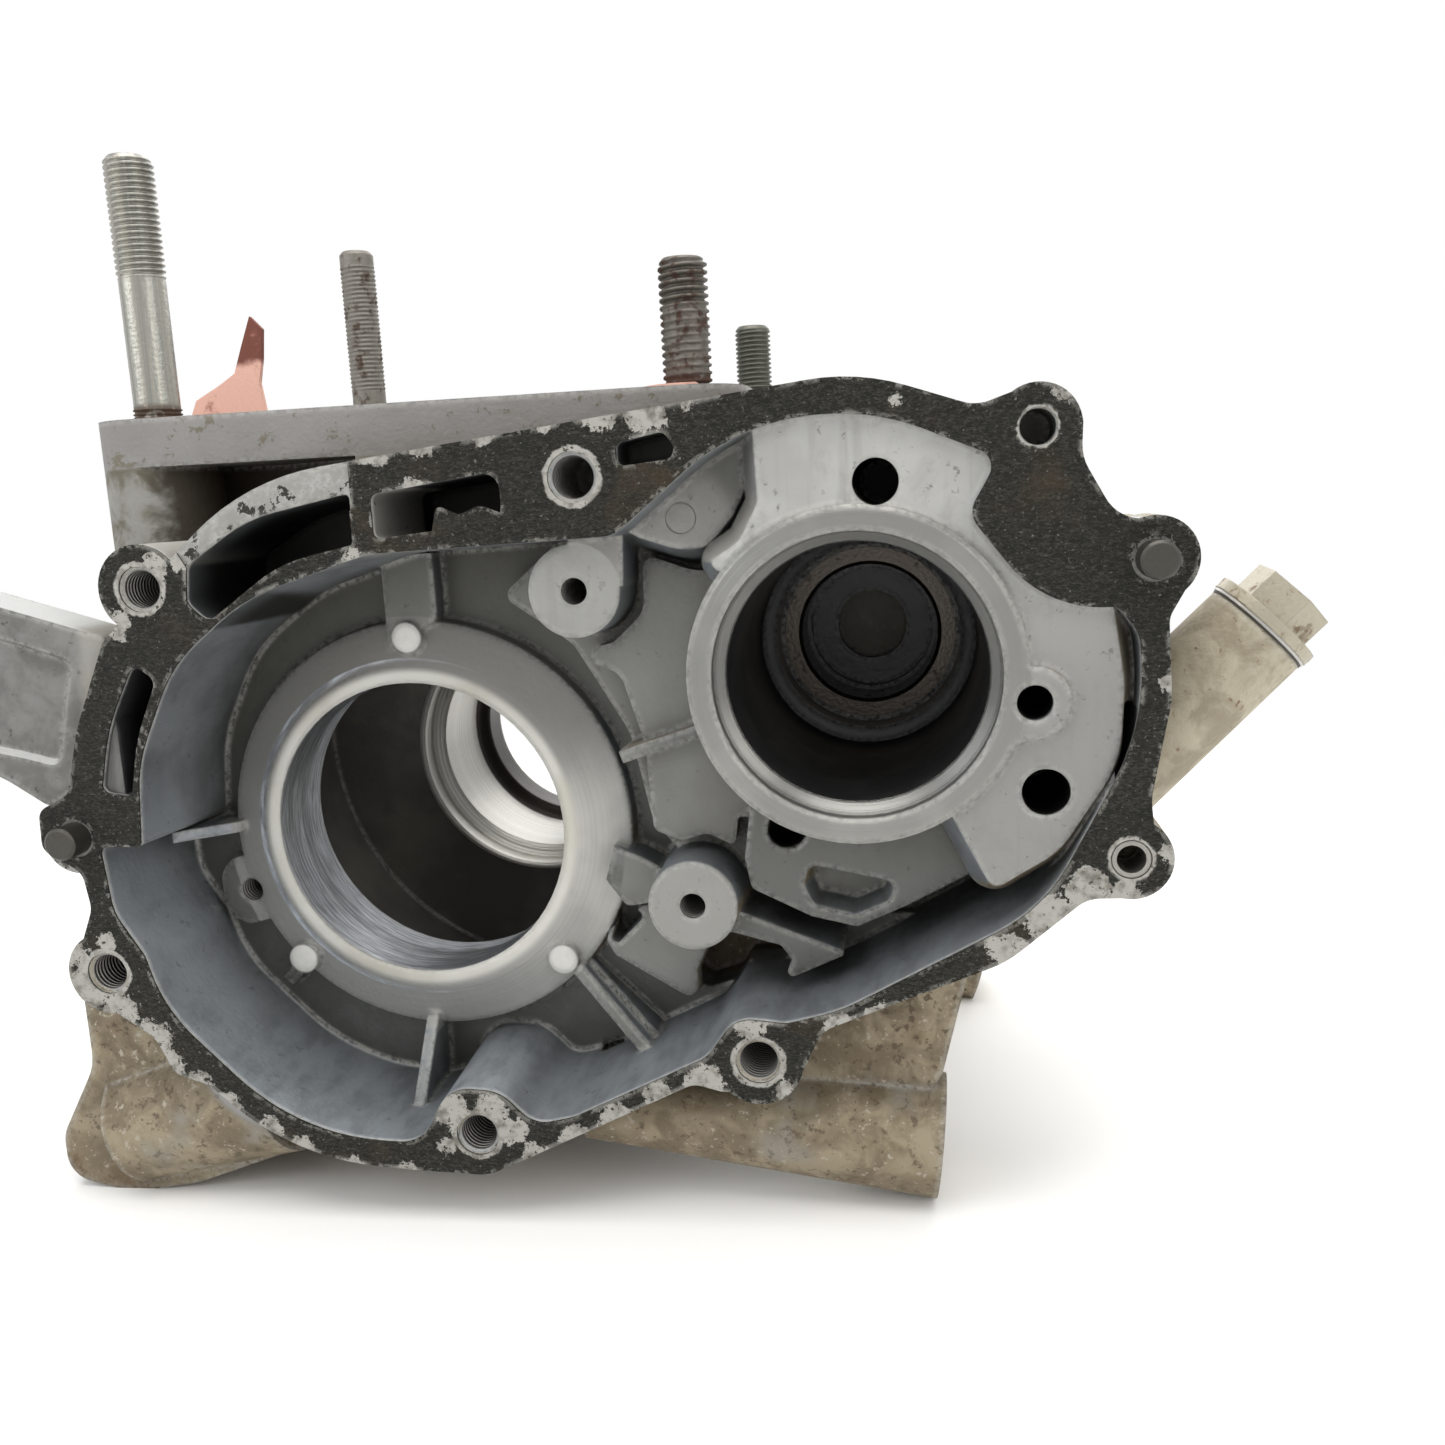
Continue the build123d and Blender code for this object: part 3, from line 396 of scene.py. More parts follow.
def castingMaterial(c, at):
    mat, tree, skin = freshMaterial("castAluminium")
    where, flat, x, y, z, normal = coordinates(tree)
    cut = tree.nodes.new("ShaderNodeSeparateXYZ")
    put(tree, cut.inputs[0], normal)
    nx, ny, nz = cut.outputs
    crankR = away(tree, flat, 0, 0)
    shaftR = away(tree, flat, *shaftCentre)
    facing = step(tree, ny, -0.75, -0.93)  # looks towards the cover side
    rounded = softEdge(tree, c["rounding"] * mm)
    edge = edges(tree, rounded, 0.985, 0.86)
    # painted shade and grime: deep corners found by ambient occlusion are darkened
    cornerShadeAndGrime = no(tree, step(tree, shelter(tree, c["cornerReach"] * mm), 0.22, 0.85))

    fine = grain(tree, where, 900, 3, 0.6)
    cloud = grain(tree, where, 45, 3, 0.55)
    blotch = grain(tree, where, 125, 4, 0.62, 0.4)
    pits = grain(tree, where, 430, 4, 0.72)
    drip = grain(tree, stretched(tree, where, (260, 90, 22)), 1.0, 3, 0.6)
    stain = step(tree, blotch, 0.50, 0.72)
    speck = step(tree, pits, 0.62, 0.68)
    patch = step(tree, cloud, 0.42, 0.66)

    # the cavity is everything near the line between both bores that looks inwards or at the camera
    acrossX, acrossZ = shaftCentre[0] * mm, shaftCentre[1] * mm
    square = 0.00967  # about the square of the distance between the bores, in square metres
    along = calc(tree, "ADD", calc(tree, "MULTIPLY", x, acrossX / square), calc(tree, "MULTIPLY", z, acrossZ / square), clamp=True)
    outX = calc(tree, "SUBTRACT", x, calc(tree, "MULTIPLY", along, acrossX))
    outZ = calc(tree, "SUBTRACT", z, calc(tree, "MULTIPLY", along, acrossZ))
    reach = calc(tree, "SQRT", calc(tree, "ADD", calc(tree, "MULTIPLY", outX, outX), calc(tree, "MULTIPLY", outZ, outZ)))
    lean = calc(tree, "ADD", calc(tree, "MULTIPLY", outX, nx), calc(tree, "MULTIPLY", outZ, nz))
    inward = step(tree, calc(tree, "DIVIDE", lean, reach), 0.45, 0.1)
    limit = calc(tree, "SUBTRACT", at["wideEnd"] * mm, calc(tree, "MULTIPLY", along, at["narrowing"] * mm))
    near = step(tree, calc(tree, "SUBTRACT", reach, limit), 0.001, -0.001)
    inside = both(tree, near, inward, step(tree, ny, 0.6, 0.3), below(tree, y, at["cavityFloor"], 0.5), over(tree, y, at["belowJoint"], 0.08))

    # blue-grey walls; the upper left channel is painted dark and greenish, a painted shade that deepens with depth
    upperLeft = both(tree, step(tree, z, -0.012, 0.020), below(tree, x, 34, 12))
    wall = mix(tree, both(tree, step(tree, drip, 0.40, 0.68), 0.6), c["wallBlue"], c["wallDark"])
    wall = mix(tree, both(tree, patch, 0.4), wall, c["wallPale"])
    ground = mix(tree, step(tree, blotch, 0.35, 0.7), c["floorGrey"], c["floorPale"])
    cavity = mix(tree, facing, wall, ground)
    # painted shade: the floor is painted darker deeper in the cavity
    deep = over(tree, y, 5.5, 4.5)
    cavity = mix(tree, both(tree, deep, facing, 0.6), cavity, c["floorDeep"])
    oiled = calc(tree, "ADD", 0.30, calc(tree, "MULTIPLY", deep, 0.55))
    cavity = mix(tree, both(tree, upperLeft, oiled, 0.85), cavity, c["channel"])
    between = both(tree, facing, below(tree, y, 0.5, 1), over(tree, crankR, at["coneEdge"]))
    cavity = mix(tree, between, cavity, mix(tree, both(tree, patch, 0.6), c["web"], c["webStain"]))
    # painted shade: the low step in the recess is painted darker
    lowStep = both(tree, facing, over(tree, y, -14, 1), below(tree, y, -9, 1), over(tree, x, 52, 4))
    cavity = mix(tree, lowStep, cavity, c["lowStep"])
    shelf = both(tree, facing, below(tree, away(tree, flat, 57, 58), 15, 2), below(tree, y, -12.5, 1))
    cavity = mix(tree, shelf, cavity, c["shelf"])
    cavity = mix(tree, both(tree, speck, 0.35), cavity, c["soot"])
    # painted shade and soot: deep corners in the cavity are painted dark, in patches
    shadeAndSoot = calc(tree, "ADD", 0.30, calc(tree, "MULTIPLY", blotch, 0.9))
    cavity = mix(tree, both(tree, cornerShadeAndGrime, shadeAndSoot), cavity, c["cornerDark"])

    # machined or pale faces
    ring = both(tree, below(tree, shaftR, at["ringR"], 0.12), below(tree, y, at["ringBack"], 0.4))
    lobe = both(tree, facing, below(tree, y, at["lobeBack"]), below(tree, shaftR, at["lobeR"], 0.5))
    plateau = either(tree, both(tree, facing, below(tree, y, at["plateauBack"], 1), inside), lobe)
    crankFace = both(tree, below(tree, crankR, at["coneR"], 0.3), below(tree, y, at["coneBack"], 0.6), over(tree, y, at["coneFront"], 0.3))
    bossRound = either(tree, *[below(tree, away(tree, flat, *b), at["bossR"]) for b in innerBosses])
    bossFace = both(tree, facing, bossRound, below(tree, y, at["bossBack"], 0.5))
    discRound = either(tree, *[below(tree, away(tree, flat, *b), at["discR"], 0.15) for b in ejectorMarks])
    discs = both(tree, facing, discRound, below(tree, y, at["discBack"], 0.3))
    rings = tree.nodes.new("ShaderNodeCombineXYZ")
    put(tree, rings.inputs[0], calc(tree, "MINIMUM", shaftR, crankR))
    put(tree, rings.inputs[1], y)
    turned = step(tree, grain(tree, rings.outputs[0], 2600, 3, 0.7), 0.3, 0.7)
    machined = mix(tree, both(tree, turned, 0.5), c["ring"], c["ringDark"])
    machined = mix(tree, both(tree, patch, 0.35), machined, c["ringPale"])
    # painted light: the plateau is painted lighter towards the upper left
    brightUp = step(tree, calc(tree, "SUBTRACT", z, calc(tree, "MULTIPLY", x, 0.25)), -0.010, 0.045)
    pale = mix(tree, brightUp, c["plateauLow"], c["plateau"])
    pale = mix(tree, both(tree, patch, 0.40), pale, c["plateauPatch"])
    pale = mix(tree, both(tree, step(tree, drip, 0.50, 0.72), 0.35), pale, c["plateauDrip"])
    pale = mix(tree, both(tree, stain, 0.35), pale, c["plateauStain"])
    pale = mix(tree, both(tree, speck, 0.6), pale, c["plateauSpeck"])
    colour = mix(tree, either(tree, plateau, bossFace), cavity, pale)
    colour = mix(tree, both(tree, bossFace, 0.6), colour, c["boss"])
    colour = mix(tree, ring, colour, machined)
    shade = step(tree, calc(tree, "ADD", z, calc(tree, "MULTIPLY", cloud, 0.03)), 0.040, 0.005)
    cone = mix(tree, shade, c["coneDark"], c["coneMid"])
    cloudy = calc(tree, "ADD", 0.5, calc(tree, "MULTIPLY", patch, 0.5))
    lit = both(tree, step(tree, x, 0.004, 0.030), step(tree, z, 0.026, -0.002), cloudy)
    cone = mix(tree, lit, cone, c["cone"])
    cone = mix(tree, both(tree, turned, 0.2), cone, c["coneTurned"])
    lip = both(tree, below(tree, crankR, at["lipR"], 0.9), over(tree, y, -0.8, 0.2), below(tree, y, 0.3, 0.2), facing)
    colour = mix(tree, crankFace, colour, cone)
    colour = mix(tree, both(tree, lip, 0.75), colour, mix(tree, both(tree, patch, 0.6), c["polished"], c["polishedDull"]))
    colour = mix(tree, discs, colour, mix(tree, both(tree, fine, 0.5), c["disc"], c["discGrey"]))

    # bores and the crank chamber
    shaftBore = both(tree, below(tree, shaftR, at["shaftBoreR"], 0.15), over(tree, y, at["shaftBoreFront"], 0.4),
                     below(tree, y, at["shaftBoreEnd"], 0.2))
    mouth = both(tree, below(tree, shaftR, at["mouthR"], 0.1), over(tree, y, at["mouthFront"], 0.4), below(tree, y, at["mouthBack"], 0.4))
    crankBore = both(tree, below(tree, crankR, at["crankBoreR"], 0.2), over(tree, y, at["crankBoreFront"], 0.2),
                     below(tree, y, at["crankBoreEnd"], 0.3))
    chamber = both(tree, below(tree, crankR, at["chamberR"], 0.3), over(tree, y, at["chamberFront"], 0.4),
                   below(tree, y, at["chamberBack"], 0.4), below(tree, z, at["chamberTop"], 2))
    streak = grain(tree, stretched(tree, where, (150, 2600, 150)), 1.0, 3, 0.6)
    brushed = mix(tree, step(tree, streak, 0.35, 0.7), c["brushedDark"], c["brushedPale"])
    band = both(tree, crankBore, below(tree, y, at["bandEnd"], 0.6))
    # painted shade: the shaft bore is painted near-black, in patches a dull dark grey
    oily = mix(tree, both(tree, patch, no(tree, facing)), c["bore"], c["boreDull"])
    room = mix(tree, patch, c["chamber"], c["chamberPale"])
    colour = mix(tree, shaftBore, colour, oily)
    colour = mix(tree, chamber, colour, room)
    colour = mix(tree, crankBore, colour, brushed)
    dullBand = both(tree, crankBore, over(tree, y, 10.6, 0.5), below(tree, y, 16.5, 0.5), 0.35)
    colour = mix(tree, dullBand, colour, c["band"])
    rearRing = both(tree, over(tree, y, at["rearFront"], 0.4), below(tree, crankR, at["rearR"], 0.3), below(tree, y, at["rearEnd"], 0.2))
    colour = mix(tree, rearRing, colour, mix(tree, turned, c["rearPale"], c["rearGrey"]))
    # painted shade: the rear bore beyond this depth is painted near-black
    behind = both(tree, rearRing, over(tree, y, at["rearShadeFront"], 0.8))
    colour = mix(tree, behind, colour, c["rearDark"])

    # windows and oil ways painted near-black as painted shade, darker deeper, threads in the tapped holes
    windows = either(tree, *[below(tree, fromLine(tree, x, z, a, b), r, 0.5) for a, b, r in windowLines])
    bared = both(tree, over(tree, x, at["baredLeft"]), below(tree, x, at["baredRight"], 1.5), over(tree, z, at["baredLow"], 1),
                 below(tree, y, 1, 1), over(tree, y, -23.9, 0.1), below(tree, z, at["baredHigh"], 1))
    windows = both(tree, windows, over(tree, y, -23.6, 0.4), below(tree, y, 7, 0.6), no(tree, bared))
    colour = mix(tree, bared, colour, mix(tree, speck, c["bared"], c["baredSpeck"]))
    sunk = calc(tree, "ADD", 0.55, both(tree, over(tree, y, -18, 5), 0.4))
    colour = mix(tree, both(tree, windows, sunk), colour, c["window"])
    oilWays = either(tree, *[below(tree, away(tree, flat, wx, wz), r, 0.1) for wx, wz, r in oilWayPlaces])
    colour = mix(tree, both(tree, oilWays, over(tree, y, at["plateauFace"], 0.5)), colour, c["oilWay"])
    holes = either(tree, *[below(tree, away(tree, flat, hx, hz), r, 0.1) for hx, hz, r in tappedHoles])
    holes = both(tree, holes, no(tree, facing), below(tree, y, 8, 1))
    wave = calc(tree, "SINE", calc(tree, "MULTIPLY", y, 2 * pi / (c["threadPitch"] * mm)))
    # painted shade in the thread roots and painted light on the crests
    colour = mix(tree, holes, colour, mix(tree, step(tree, wave, -0.6, 0.6), c["threadRoot"], c["threadCrest"]))

    # the joint face beside the gasket: bare metal with black flecks of gasket
    joint = both(tree, facing, below(tree, y, coverY + 0.08, 0.05), no(tree, either(tree, ring, lobe)))
    flake = calc(tree, "ADD", calc(tree, "MULTIPLY", blotch, 0.5), calc(tree, "MULTIPLY", pits, 0.5))
    jointMetal = mix(tree, step(tree, pits, 0.42, 0.7), c["joint"], c["jointPale"])
    jointMetal = mix(tree, step(tree, flake, 0.545, 0.56), jointMetal, c["jointFleck"])

    # outside: dirt, rust and stains over the cast skin, and painted shade under the deck
    inner = [inside, bared, ring, lobe, shaftBore, mouth, crankBore, chamber, rearRing, windows, holes, crankFace]
    outside = no(tree, either(tree, *inner))
    grime = either(tree, step(tree, z, 0.055, -0.010), over(tree, x, at["grimeRight"], 14))
    skinDirt = mix(tree, step(tree, blotch, 0.36, 0.62), c["dirt"], c["paleDirt"])
    rusty = both(tree, step(tree, cloud, 0.52, 0.66), step(tree, blotch, 0.40, 0.60))
    skinDirt = mix(tree, rusty, skinDirt, mix(tree, fine, c["dirt"], c["rust"]))
    skinDirt = mix(tree, both(tree, step(tree, cloud, 0.45, 0.34), 0.6), skinDirt, c["clean"])
    skinDirt = mix(tree, both(tree, step(tree, pits, 0.56, 0.64), 0.85), skinDirt, c["pit"])
    skinDirt = mix(tree, step(tree, pits, 0.40, 0.34), skinDirt, c["crust"])
    clean = mix(tree, cloud, c["cleanDark"], c["clean"])
    outer = mix(tree, both(tree, grime, step(tree, cloud, 0.20, 0.45)), clean, skinDirt)
    outer = mix(tree, both(tree, step(tree, z, -0.02, -0.06), below(tree, x, at["grimeRight"], 5), 0.35), outer, c["dirt"])
    neckZone = both(tree, over(tree, x, at["neckFrom"], 4), over(tree, calc(tree, "ADD", x, z), at["neckSum"], 6))
    neckTone = mix(tree, step(tree, blotch, 0.38, 0.62), c["neckDark"], c["neck"])
    neckTone = mix(tree, both(tree, speck, 0.8), neckTone, c["rust"])
    outer = mix(tree, neckZone, outer, neckTone)
    # below the deck: a mottled column, and beside it the gap under the deck painted dark brown as painted shade, fading
    # to the right
    low = both(tree, below(tree, z, at["deckLow"], 0.5), over(tree, z, 30, 6), below(tree, x, 14, 6), over(tree, y, 3, 0.5))
    mottled = step(tree, calc(tree, "ADD", blotch, calc(tree, "MULTIPLY", cloud, 0.5)), 0.60, 0.86)
    column = mix(tree, mottled, c["column"], c["columnDark"])
    fade = step(tree, calc(tree, "ADD", x, calc(tree, "MULTIPLY", cloud, 0.022)), -0.030, 0.012)
    brown = mix(tree, fade, mix(tree, blotch, c["oil"], c["oilBrown"]), c["oilFaded"])
    start = step(tree, calc(tree, "ADD", x, calc(tree, "MULTIPLY", blotch, 0.014)), -0.050, -0.043)
    outer = mix(tree, low, outer, mix(tree, start, column, brown))
    slab = both(tree, over(tree, z, at["deckLow"], 0.6), below(tree, x, at["deckRight"]), over(tree, y, 3, 0.5))
    front = mix(tree, both(tree, patch, 0.45), c["deckFront"], c["deckFrontPatch"])
    front = mix(tree, both(tree, step(tree, flake, 0.565, 0.60), 0.75), front, c["deckFrontStain"])
    outer = mix(tree, slab, outer, front)
    top = both(tree, step(tree, nz, 0.6, 0.9), over(tree, z, deckZ - 0.3, 0.2))
    outer = mix(tree, top, outer, mix(tree, both(tree, stain, 0.5), c["deckTop"], c["deckTopStain"]))
    # the arm: grey panel with pits between ridges; upward faces are painted lighter, a painted highlight
    arm = both(tree, below(tree, x, at["armRight"], 2), over(tree, z, at["armLow"], 1), below(tree, y, at["armBack"], 1))
    armTone = mix(tree, step(tree, blotch, 0.35, 0.65), c["arm"], c["armPale"])
    armTone = mix(tree, both(tree, speck, 0.9), armTone, c["armPit"])
    # painted highlight: faces that point upwards are painted pale
    armTone = mix(tree, both(tree, step(tree, nz, 0.4, 0.8), 0.9), armTone, c["armRidge"])
    outer = mix(tree, arm, outer, armTone)
    # painted shade and brown grime in deep corners outside
    outer = mix(tree, both(tree, cornerShadeAndGrime, 0.75), outer, c["cornerBrown"])
    colour = mix(tree, outside, colour, outer)
    colour = mix(tree, joint, colour, jointMetal)
    # painted highlight and edge wear: sharp edges are painted pale, away from windows, holes and the dark rear bore
    wornBright = both(tree, edge, no(tree, either(tree, windows, holes, behind)), step(tree, fine, 0.30, 0.6))
    colour = mix(tree, both(tree, wornBright, 0.65), colour, c["edge"])

    put(tree, skin.inputs["Base Color"], colour)
    shiny = either(tree, ring, lip, mouth, band, rearRing)
    metal = mix(tree, outside, even(c["metalInside"]), even(c["metalOutside"]))
    metal = mix(tree, either(tree, plateau, bossFace, joint, crankFace), metal, even(c["metalFace"]))
    metal = mix(tree, shiny, metal, even(c["metalShiny"]))
    put(tree, skin.inputs["Metallic"], metal)
    gloss = calc(tree, "ADD", 0.40, calc(tree, "MULTIPLY", blotch, 0.16))
    gloss = calc(tree, "ADD", gloss, calc(tree, "MULTIPLY", outside, 0.22))
    gloss = calc(tree, "SUBTRACT", gloss, calc(tree, "MULTIPLY", shiny, 0.16))
    gloss = calc(tree, "SUBTRACT", gloss, calc(tree, "MULTIPLY", shaftBore, 0.16))
    put(tree, skin.inputs["Roughness"], gloss)
    lumps = calc(tree, "ADD", calc(tree, "ADD", calc(tree, "MULTIPLY", fine, 0.55), blotch), calc(tree, "MULTIPLY", pits, 0.6))
    depth = calc(tree, "ADD", 0.12, calc(tree, "MULTIPLY", outside, 0.16))  # deeper outside, nearly none where it is turned
    depth = calc(tree, "SUBTRACT", depth, calc(tree, "MULTIPLY", shiny, 0.11))
    cast = relief(tree, lumps, calc(tree, "MULTIPLY", depth, mm), rounded)
    lathe = relief(tree, turned, calc(tree, "MULTIPLY", shiny, c["latheDepth"] * mm), cast)
    put(tree, skin.inputs["Normal"], relief(tree, wave, calc(tree, "MULTIPLY", holes, c["threadDepth"] * mm), lathe))
    return mat


dress("crankcase_casting", castingMaterial(castLook, castPlaces))
print("casting dressed")


gasketLook = {"dark": (0.009, 0.009, 0.007), "fibre": (0.058, 0.055, 0.046), "brown": (0.062, 0.042, 0.022), "lint": (0.14, 0.135, 0.12),
              "bare": (0.36, 0.35, 0.32), "bareDark": (0.16, 0.15, 0.13), "bareSpeck": (0.05, 0.045, 0.035),
              "metal": 0.35, "rough": 0.85, "bareRough": 0.5, "specular": 0.25, "fibreDepth": 0.12, "fray": 1.3}
# where the sheet has crumbled away: x, z, reach, how much
bareSpots = [
    (-37, 58, 4, 1.0), (-46, 47, 4, 0.9), (-31, 60, 5, 1.1), (-24, 65.5, 5, 1.2), (-12, 71.5, 5, 1.2), (-2, 75, 5, 1.2),
    (8, 76.6, 4, 1.1), (17, 77.4, 3.6, 1.1), (28, 78.6, 3.4, 1.1), (40, 80, 3, 1.1), (50, 80.4, 4, 1.2), (58, 80.5, 5, 1.1),
    (66, 82.5, 4, 0.8), (15, 70, 3, 0.8), (2.4, 58, 2.4, 0.8), (-62.5, -25.5, 6, 1.2), (-64, -19, 4, 1.0), (-57, -16, 3, 0.9),
    (-56.5, -30.5, 5, 1.2), (-50, -36.5, 5, 1.2), (-46.5, -41.5, 4, 1.1), (-41, -45, 4, 0.9), (-35.5, -50.5, 4, 1.1),
    (-27, -55.5, 4, 1.2), (-20.5, -58.8, 3.5, 1.2), (-10, -62, 3, 0.8), (1, -62.5, 3, 0.8), (12, -50.5, 4.5, 1.2),
    (19.5, -50.2, 4.5, 1.2), (23.5, -54, 4, 1.1), (10, -58, 3, 0.8), (28, -59, 4, 1.1), (36, -55.5, 4, 1.2), (45, -51.5, 5, 1.2),
    (53, -46.5, 4, 1.1), (62, -42.5, 5, 1.0), (71.5, -31, 4.5, 1.2), (77, -44, 3, 0.8), (88, -31.8, 4, 1.2), (95, -29, 3, 1.0),
    (118, -16.5, 5, 1.0), (126, -11, 6, 1.25), (132, -5.5, 5, 1.2), (139, -6, 4, 1.0), (146, 1, 3, 0.9), (145.5, 31, 2.4, 0.9),
    (128, 80, 3, 0.8), (101, 79.5, 2, 0.9)]
ringSpots = [(*b, 5.1) for b in coverBolts] + [(*topHole, 5.3), (124.0, 74.3, 3.45), (139.4, 0.1, 3.9)]


def gasketMaterial(g):
    mat, tree, skin = freshMaterial("gasketFibre")
    where, flat, x, y, z, normal = coordinates(tree)
    torn = grain(tree, where, 290, 6, 0.72, 0.6)
    ragged = grain(tree, where, 900, 4, 0.7)
    edge = calc(tree, "ADD", calc(tree, "MULTIPLY", torn, 0.72), calc(tree, "MULTIPLY", ragged, 0.40))
    pull = None
    for sx, sz, reach, strength in bareSpots:
        nearness = step(tree, away(tree, flat, sx, sz), reach * 1.45 * mm, reach * 0.2 * mm)
        value = both(tree, nearness, strength)
        pull = value if pull is None else either(tree, pull, value)
    rim = edges(tree, softEdge(tree, g["fray"] * mm), 0.998, 0.93)  # the sheet frays along its edges
    crumbled = calc(tree, "ADD", calc(tree, "ADD", calc(tree, "MULTIPLY", pull, 0.34), edge), calc(tree, "MULTIPLY", rim, 0.20))
    bare = step(tree, crumbled, 0.775, 0.79)
    rings = None
    for cx, cz, r in ringSpots:
        value = calc(tree, "SUBTRACT", away(tree, flat, cx, cz), r * mm)
        rings = value if rings is None else calc(tree, "MINIMUM", rings, value)
    wornBright = step(tree, calc(tree, "ADD", rings, calc(tree, "MULTIPLY", torn, -0.0022)), -0.0008, -0.0012)
    top = step(tree, calc(tree, "ABSOLUTE", calc(tree, "ADD", y, -gasketY * mm)), 0.0003, 0.0001)
    bare = both(tree, either(tree, bare, wornBright), top)
    strands = grain(tree, stretched(tree, where, (1, 1, 2.6)), 900, 4, 0.75, 1.2)
    fibre = mix(tree, step(tree, strands, 0.42, 0.75), g["dark"], g["fibre"])
    rusted = step(tree, grain(tree, where, 55, 3, 0.6), 0.54, 0.74)
    fibre = mix(tree, both(tree, rusted, 0.4), fibre, g["brown"])
    fibre = mix(tree, step(tree, grain(tree, where, 1500, 2, 0.5), 0.64, 0.74), fibre, g["lint"])
    metal = mix(tree, step(tree, grain(tree, where, 420, 5, 0.65), 0.42, 0.7), g["bare"], g["bareDark"])
    metal = mix(tree, step(tree, ragged, 0.60, 0.64), metal, g["bareSpeck"])
    put(tree, skin.inputs["Base Color"], mix(tree, bare, fibre, metal))
    put(tree, skin.inputs["Metallic"], calc(tree, "MULTIPLY", bare, g["metal"]))
    put(tree, skin.inputs["Roughness"], mix(tree, bare, even(g["rough"]), even(g["bareRough"])))
    skin.inputs["Specular IOR Level"].default_value = g["specular"]
    put(tree, skin.inputs["Normal"], relief(tree, strands, g["fibreDepth"] * mm))
    return mat


dress("cover_gasket_remains", gasketMaterial(gasketLook))
print("gasket dressed")


def steelMaterial(look):
    mat, tree, skin = freshMaterial(look["name"])
    where, flat, x, y, z, normal = coordinates(tree)
    rough, metallic = look.get("rough", 0.42), look.get("metallic", 0.85)
    start = 0.72 - look["share"] * 0.5
    share = step(tree, grain(tree, where, look.get("scale", 300), 6, 0.65, 0.3), start, start + 0.14)
    if "rustBelow" in look:  # rusty foot of a stud
        foot = both(tree, below(tree, z, look["rustBelow"], 1.0), step(tree, grain(tree, where, 500, 4), 0.3, 0.5))
        share = either(tree, share, foot)
    tone = mix(tree, grain(tree, where, 1500, 3, 0.6), tuple(v * 0.8 for v in look["clean"]), look["clean"])
    if "streaks" in look:  # drawn lines along a shank
        lines = step(tree, grain(tree, stretched(tree, where, (900, 900, 12)), 1.0, 4, 0.6), 0.35, 0.7)
        tone = mix(tree, lines, tone, look["streaks"])
    if "burntAbove" in look:  # the torn end of a gasket is soaked dark
        wavy = calc(tree, "ADD", z, calc(tree, "MULTIPLY", grain(tree, where, 300, 4), 4 * mm))
        soaked = over(tree, wavy, look["burntAbove"] + 2, 1.2)
        tone = mix(tree, soaked, tone, look["burnt"])
    rust = mix(tree, grain(tree, where, 900, 5, 0.7), look["rust"], tuple(v * 0.45 for v in look["rust"]))
    put(tree, skin.inputs["Base Color"], mix(tree, share, tone, rust))
    put(tree, skin.inputs["Metallic"], calc(tree, "SUBTRACT", metallic, calc(tree, "MULTIPLY", share, metallic * 0.8)))
    put(tree, skin.inputs["Roughness"], calc(tree, "ADD", rough, calc(tree, "MULTIPLY", share, 0.4), clamp=True))
    put(tree, skin.inputs["Normal"], relief(tree, grain(tree, where, 1100, 4, 0.65), 0.09 * mm, softEdge(tree, 0.3 * mm)))
    return mat


steelLooks = [
    {"name": "dowelSteel", "nodes": ["cover_dowel_left", "cover_dowel_right"],
     "clean": (0.070, 0.067, 0.058), "rust": (0.045, 0.032, 0.022), "share": 0.3, "rough": 0.40, "metallic": 0.7},
    {"name": "sleeveSteel", "nodes": ["cover_dowel_sleeve"],
     "clean": (0.32, 0.31, 0.285), "rust": (0.12, 0.085, 0.055), "share": 0.25, "rough": 0.32},
    {"name": "plugSteel", "nodes": ["filler_plug"],
     "clean": (0.42, 0.385, 0.30), "rust": (0.24, 0.165, 0.095), "share": 0.40, "metallic": 0.5, "scale": 260},
    {"name": "washerSteel", "nodes": ["filler_plug_washer"], "clean": (0.50, 0.49, 0.46), "rust": (0.17, 0.12, 0.08), "share": 0.3},
    {"name": "sealDark", "nodes": ["filler_plug_seal"],
     "clean": (0.06, 0.055, 0.045), "rust": (0.10, 0.075, 0.05), "share": 0.3, "rough": 0.6, "metallic": 0.1},
    {"name": "raceSteel", "nodes": ["shaft_bearing_race"],
     "clean": (0.085, 0.073, 0.062), "rust": (0.060, 0.042, 0.032), "share": 0.25, "rough": 0.22, "metallic": 0.9},
    {"name": "tornPaper", "nodes": ["base_gasket_scrap", "base_gasket_sliver"],
     "clean": (0.86, 0.50, 0.40), "rust": (0.55, 0.26, 0.20), "share": 0.3, "rough": 0.8, "metallic": 0.0, "scale": 140,
     "burntAbove": 101.5, "burnt": (0.17, 0.052, 0.034)}]
for look in steelLooks:
    mat = steelMaterial(look)
    for name in look["nodes"]:
        dress(name, mat)
print("small parts dressed")


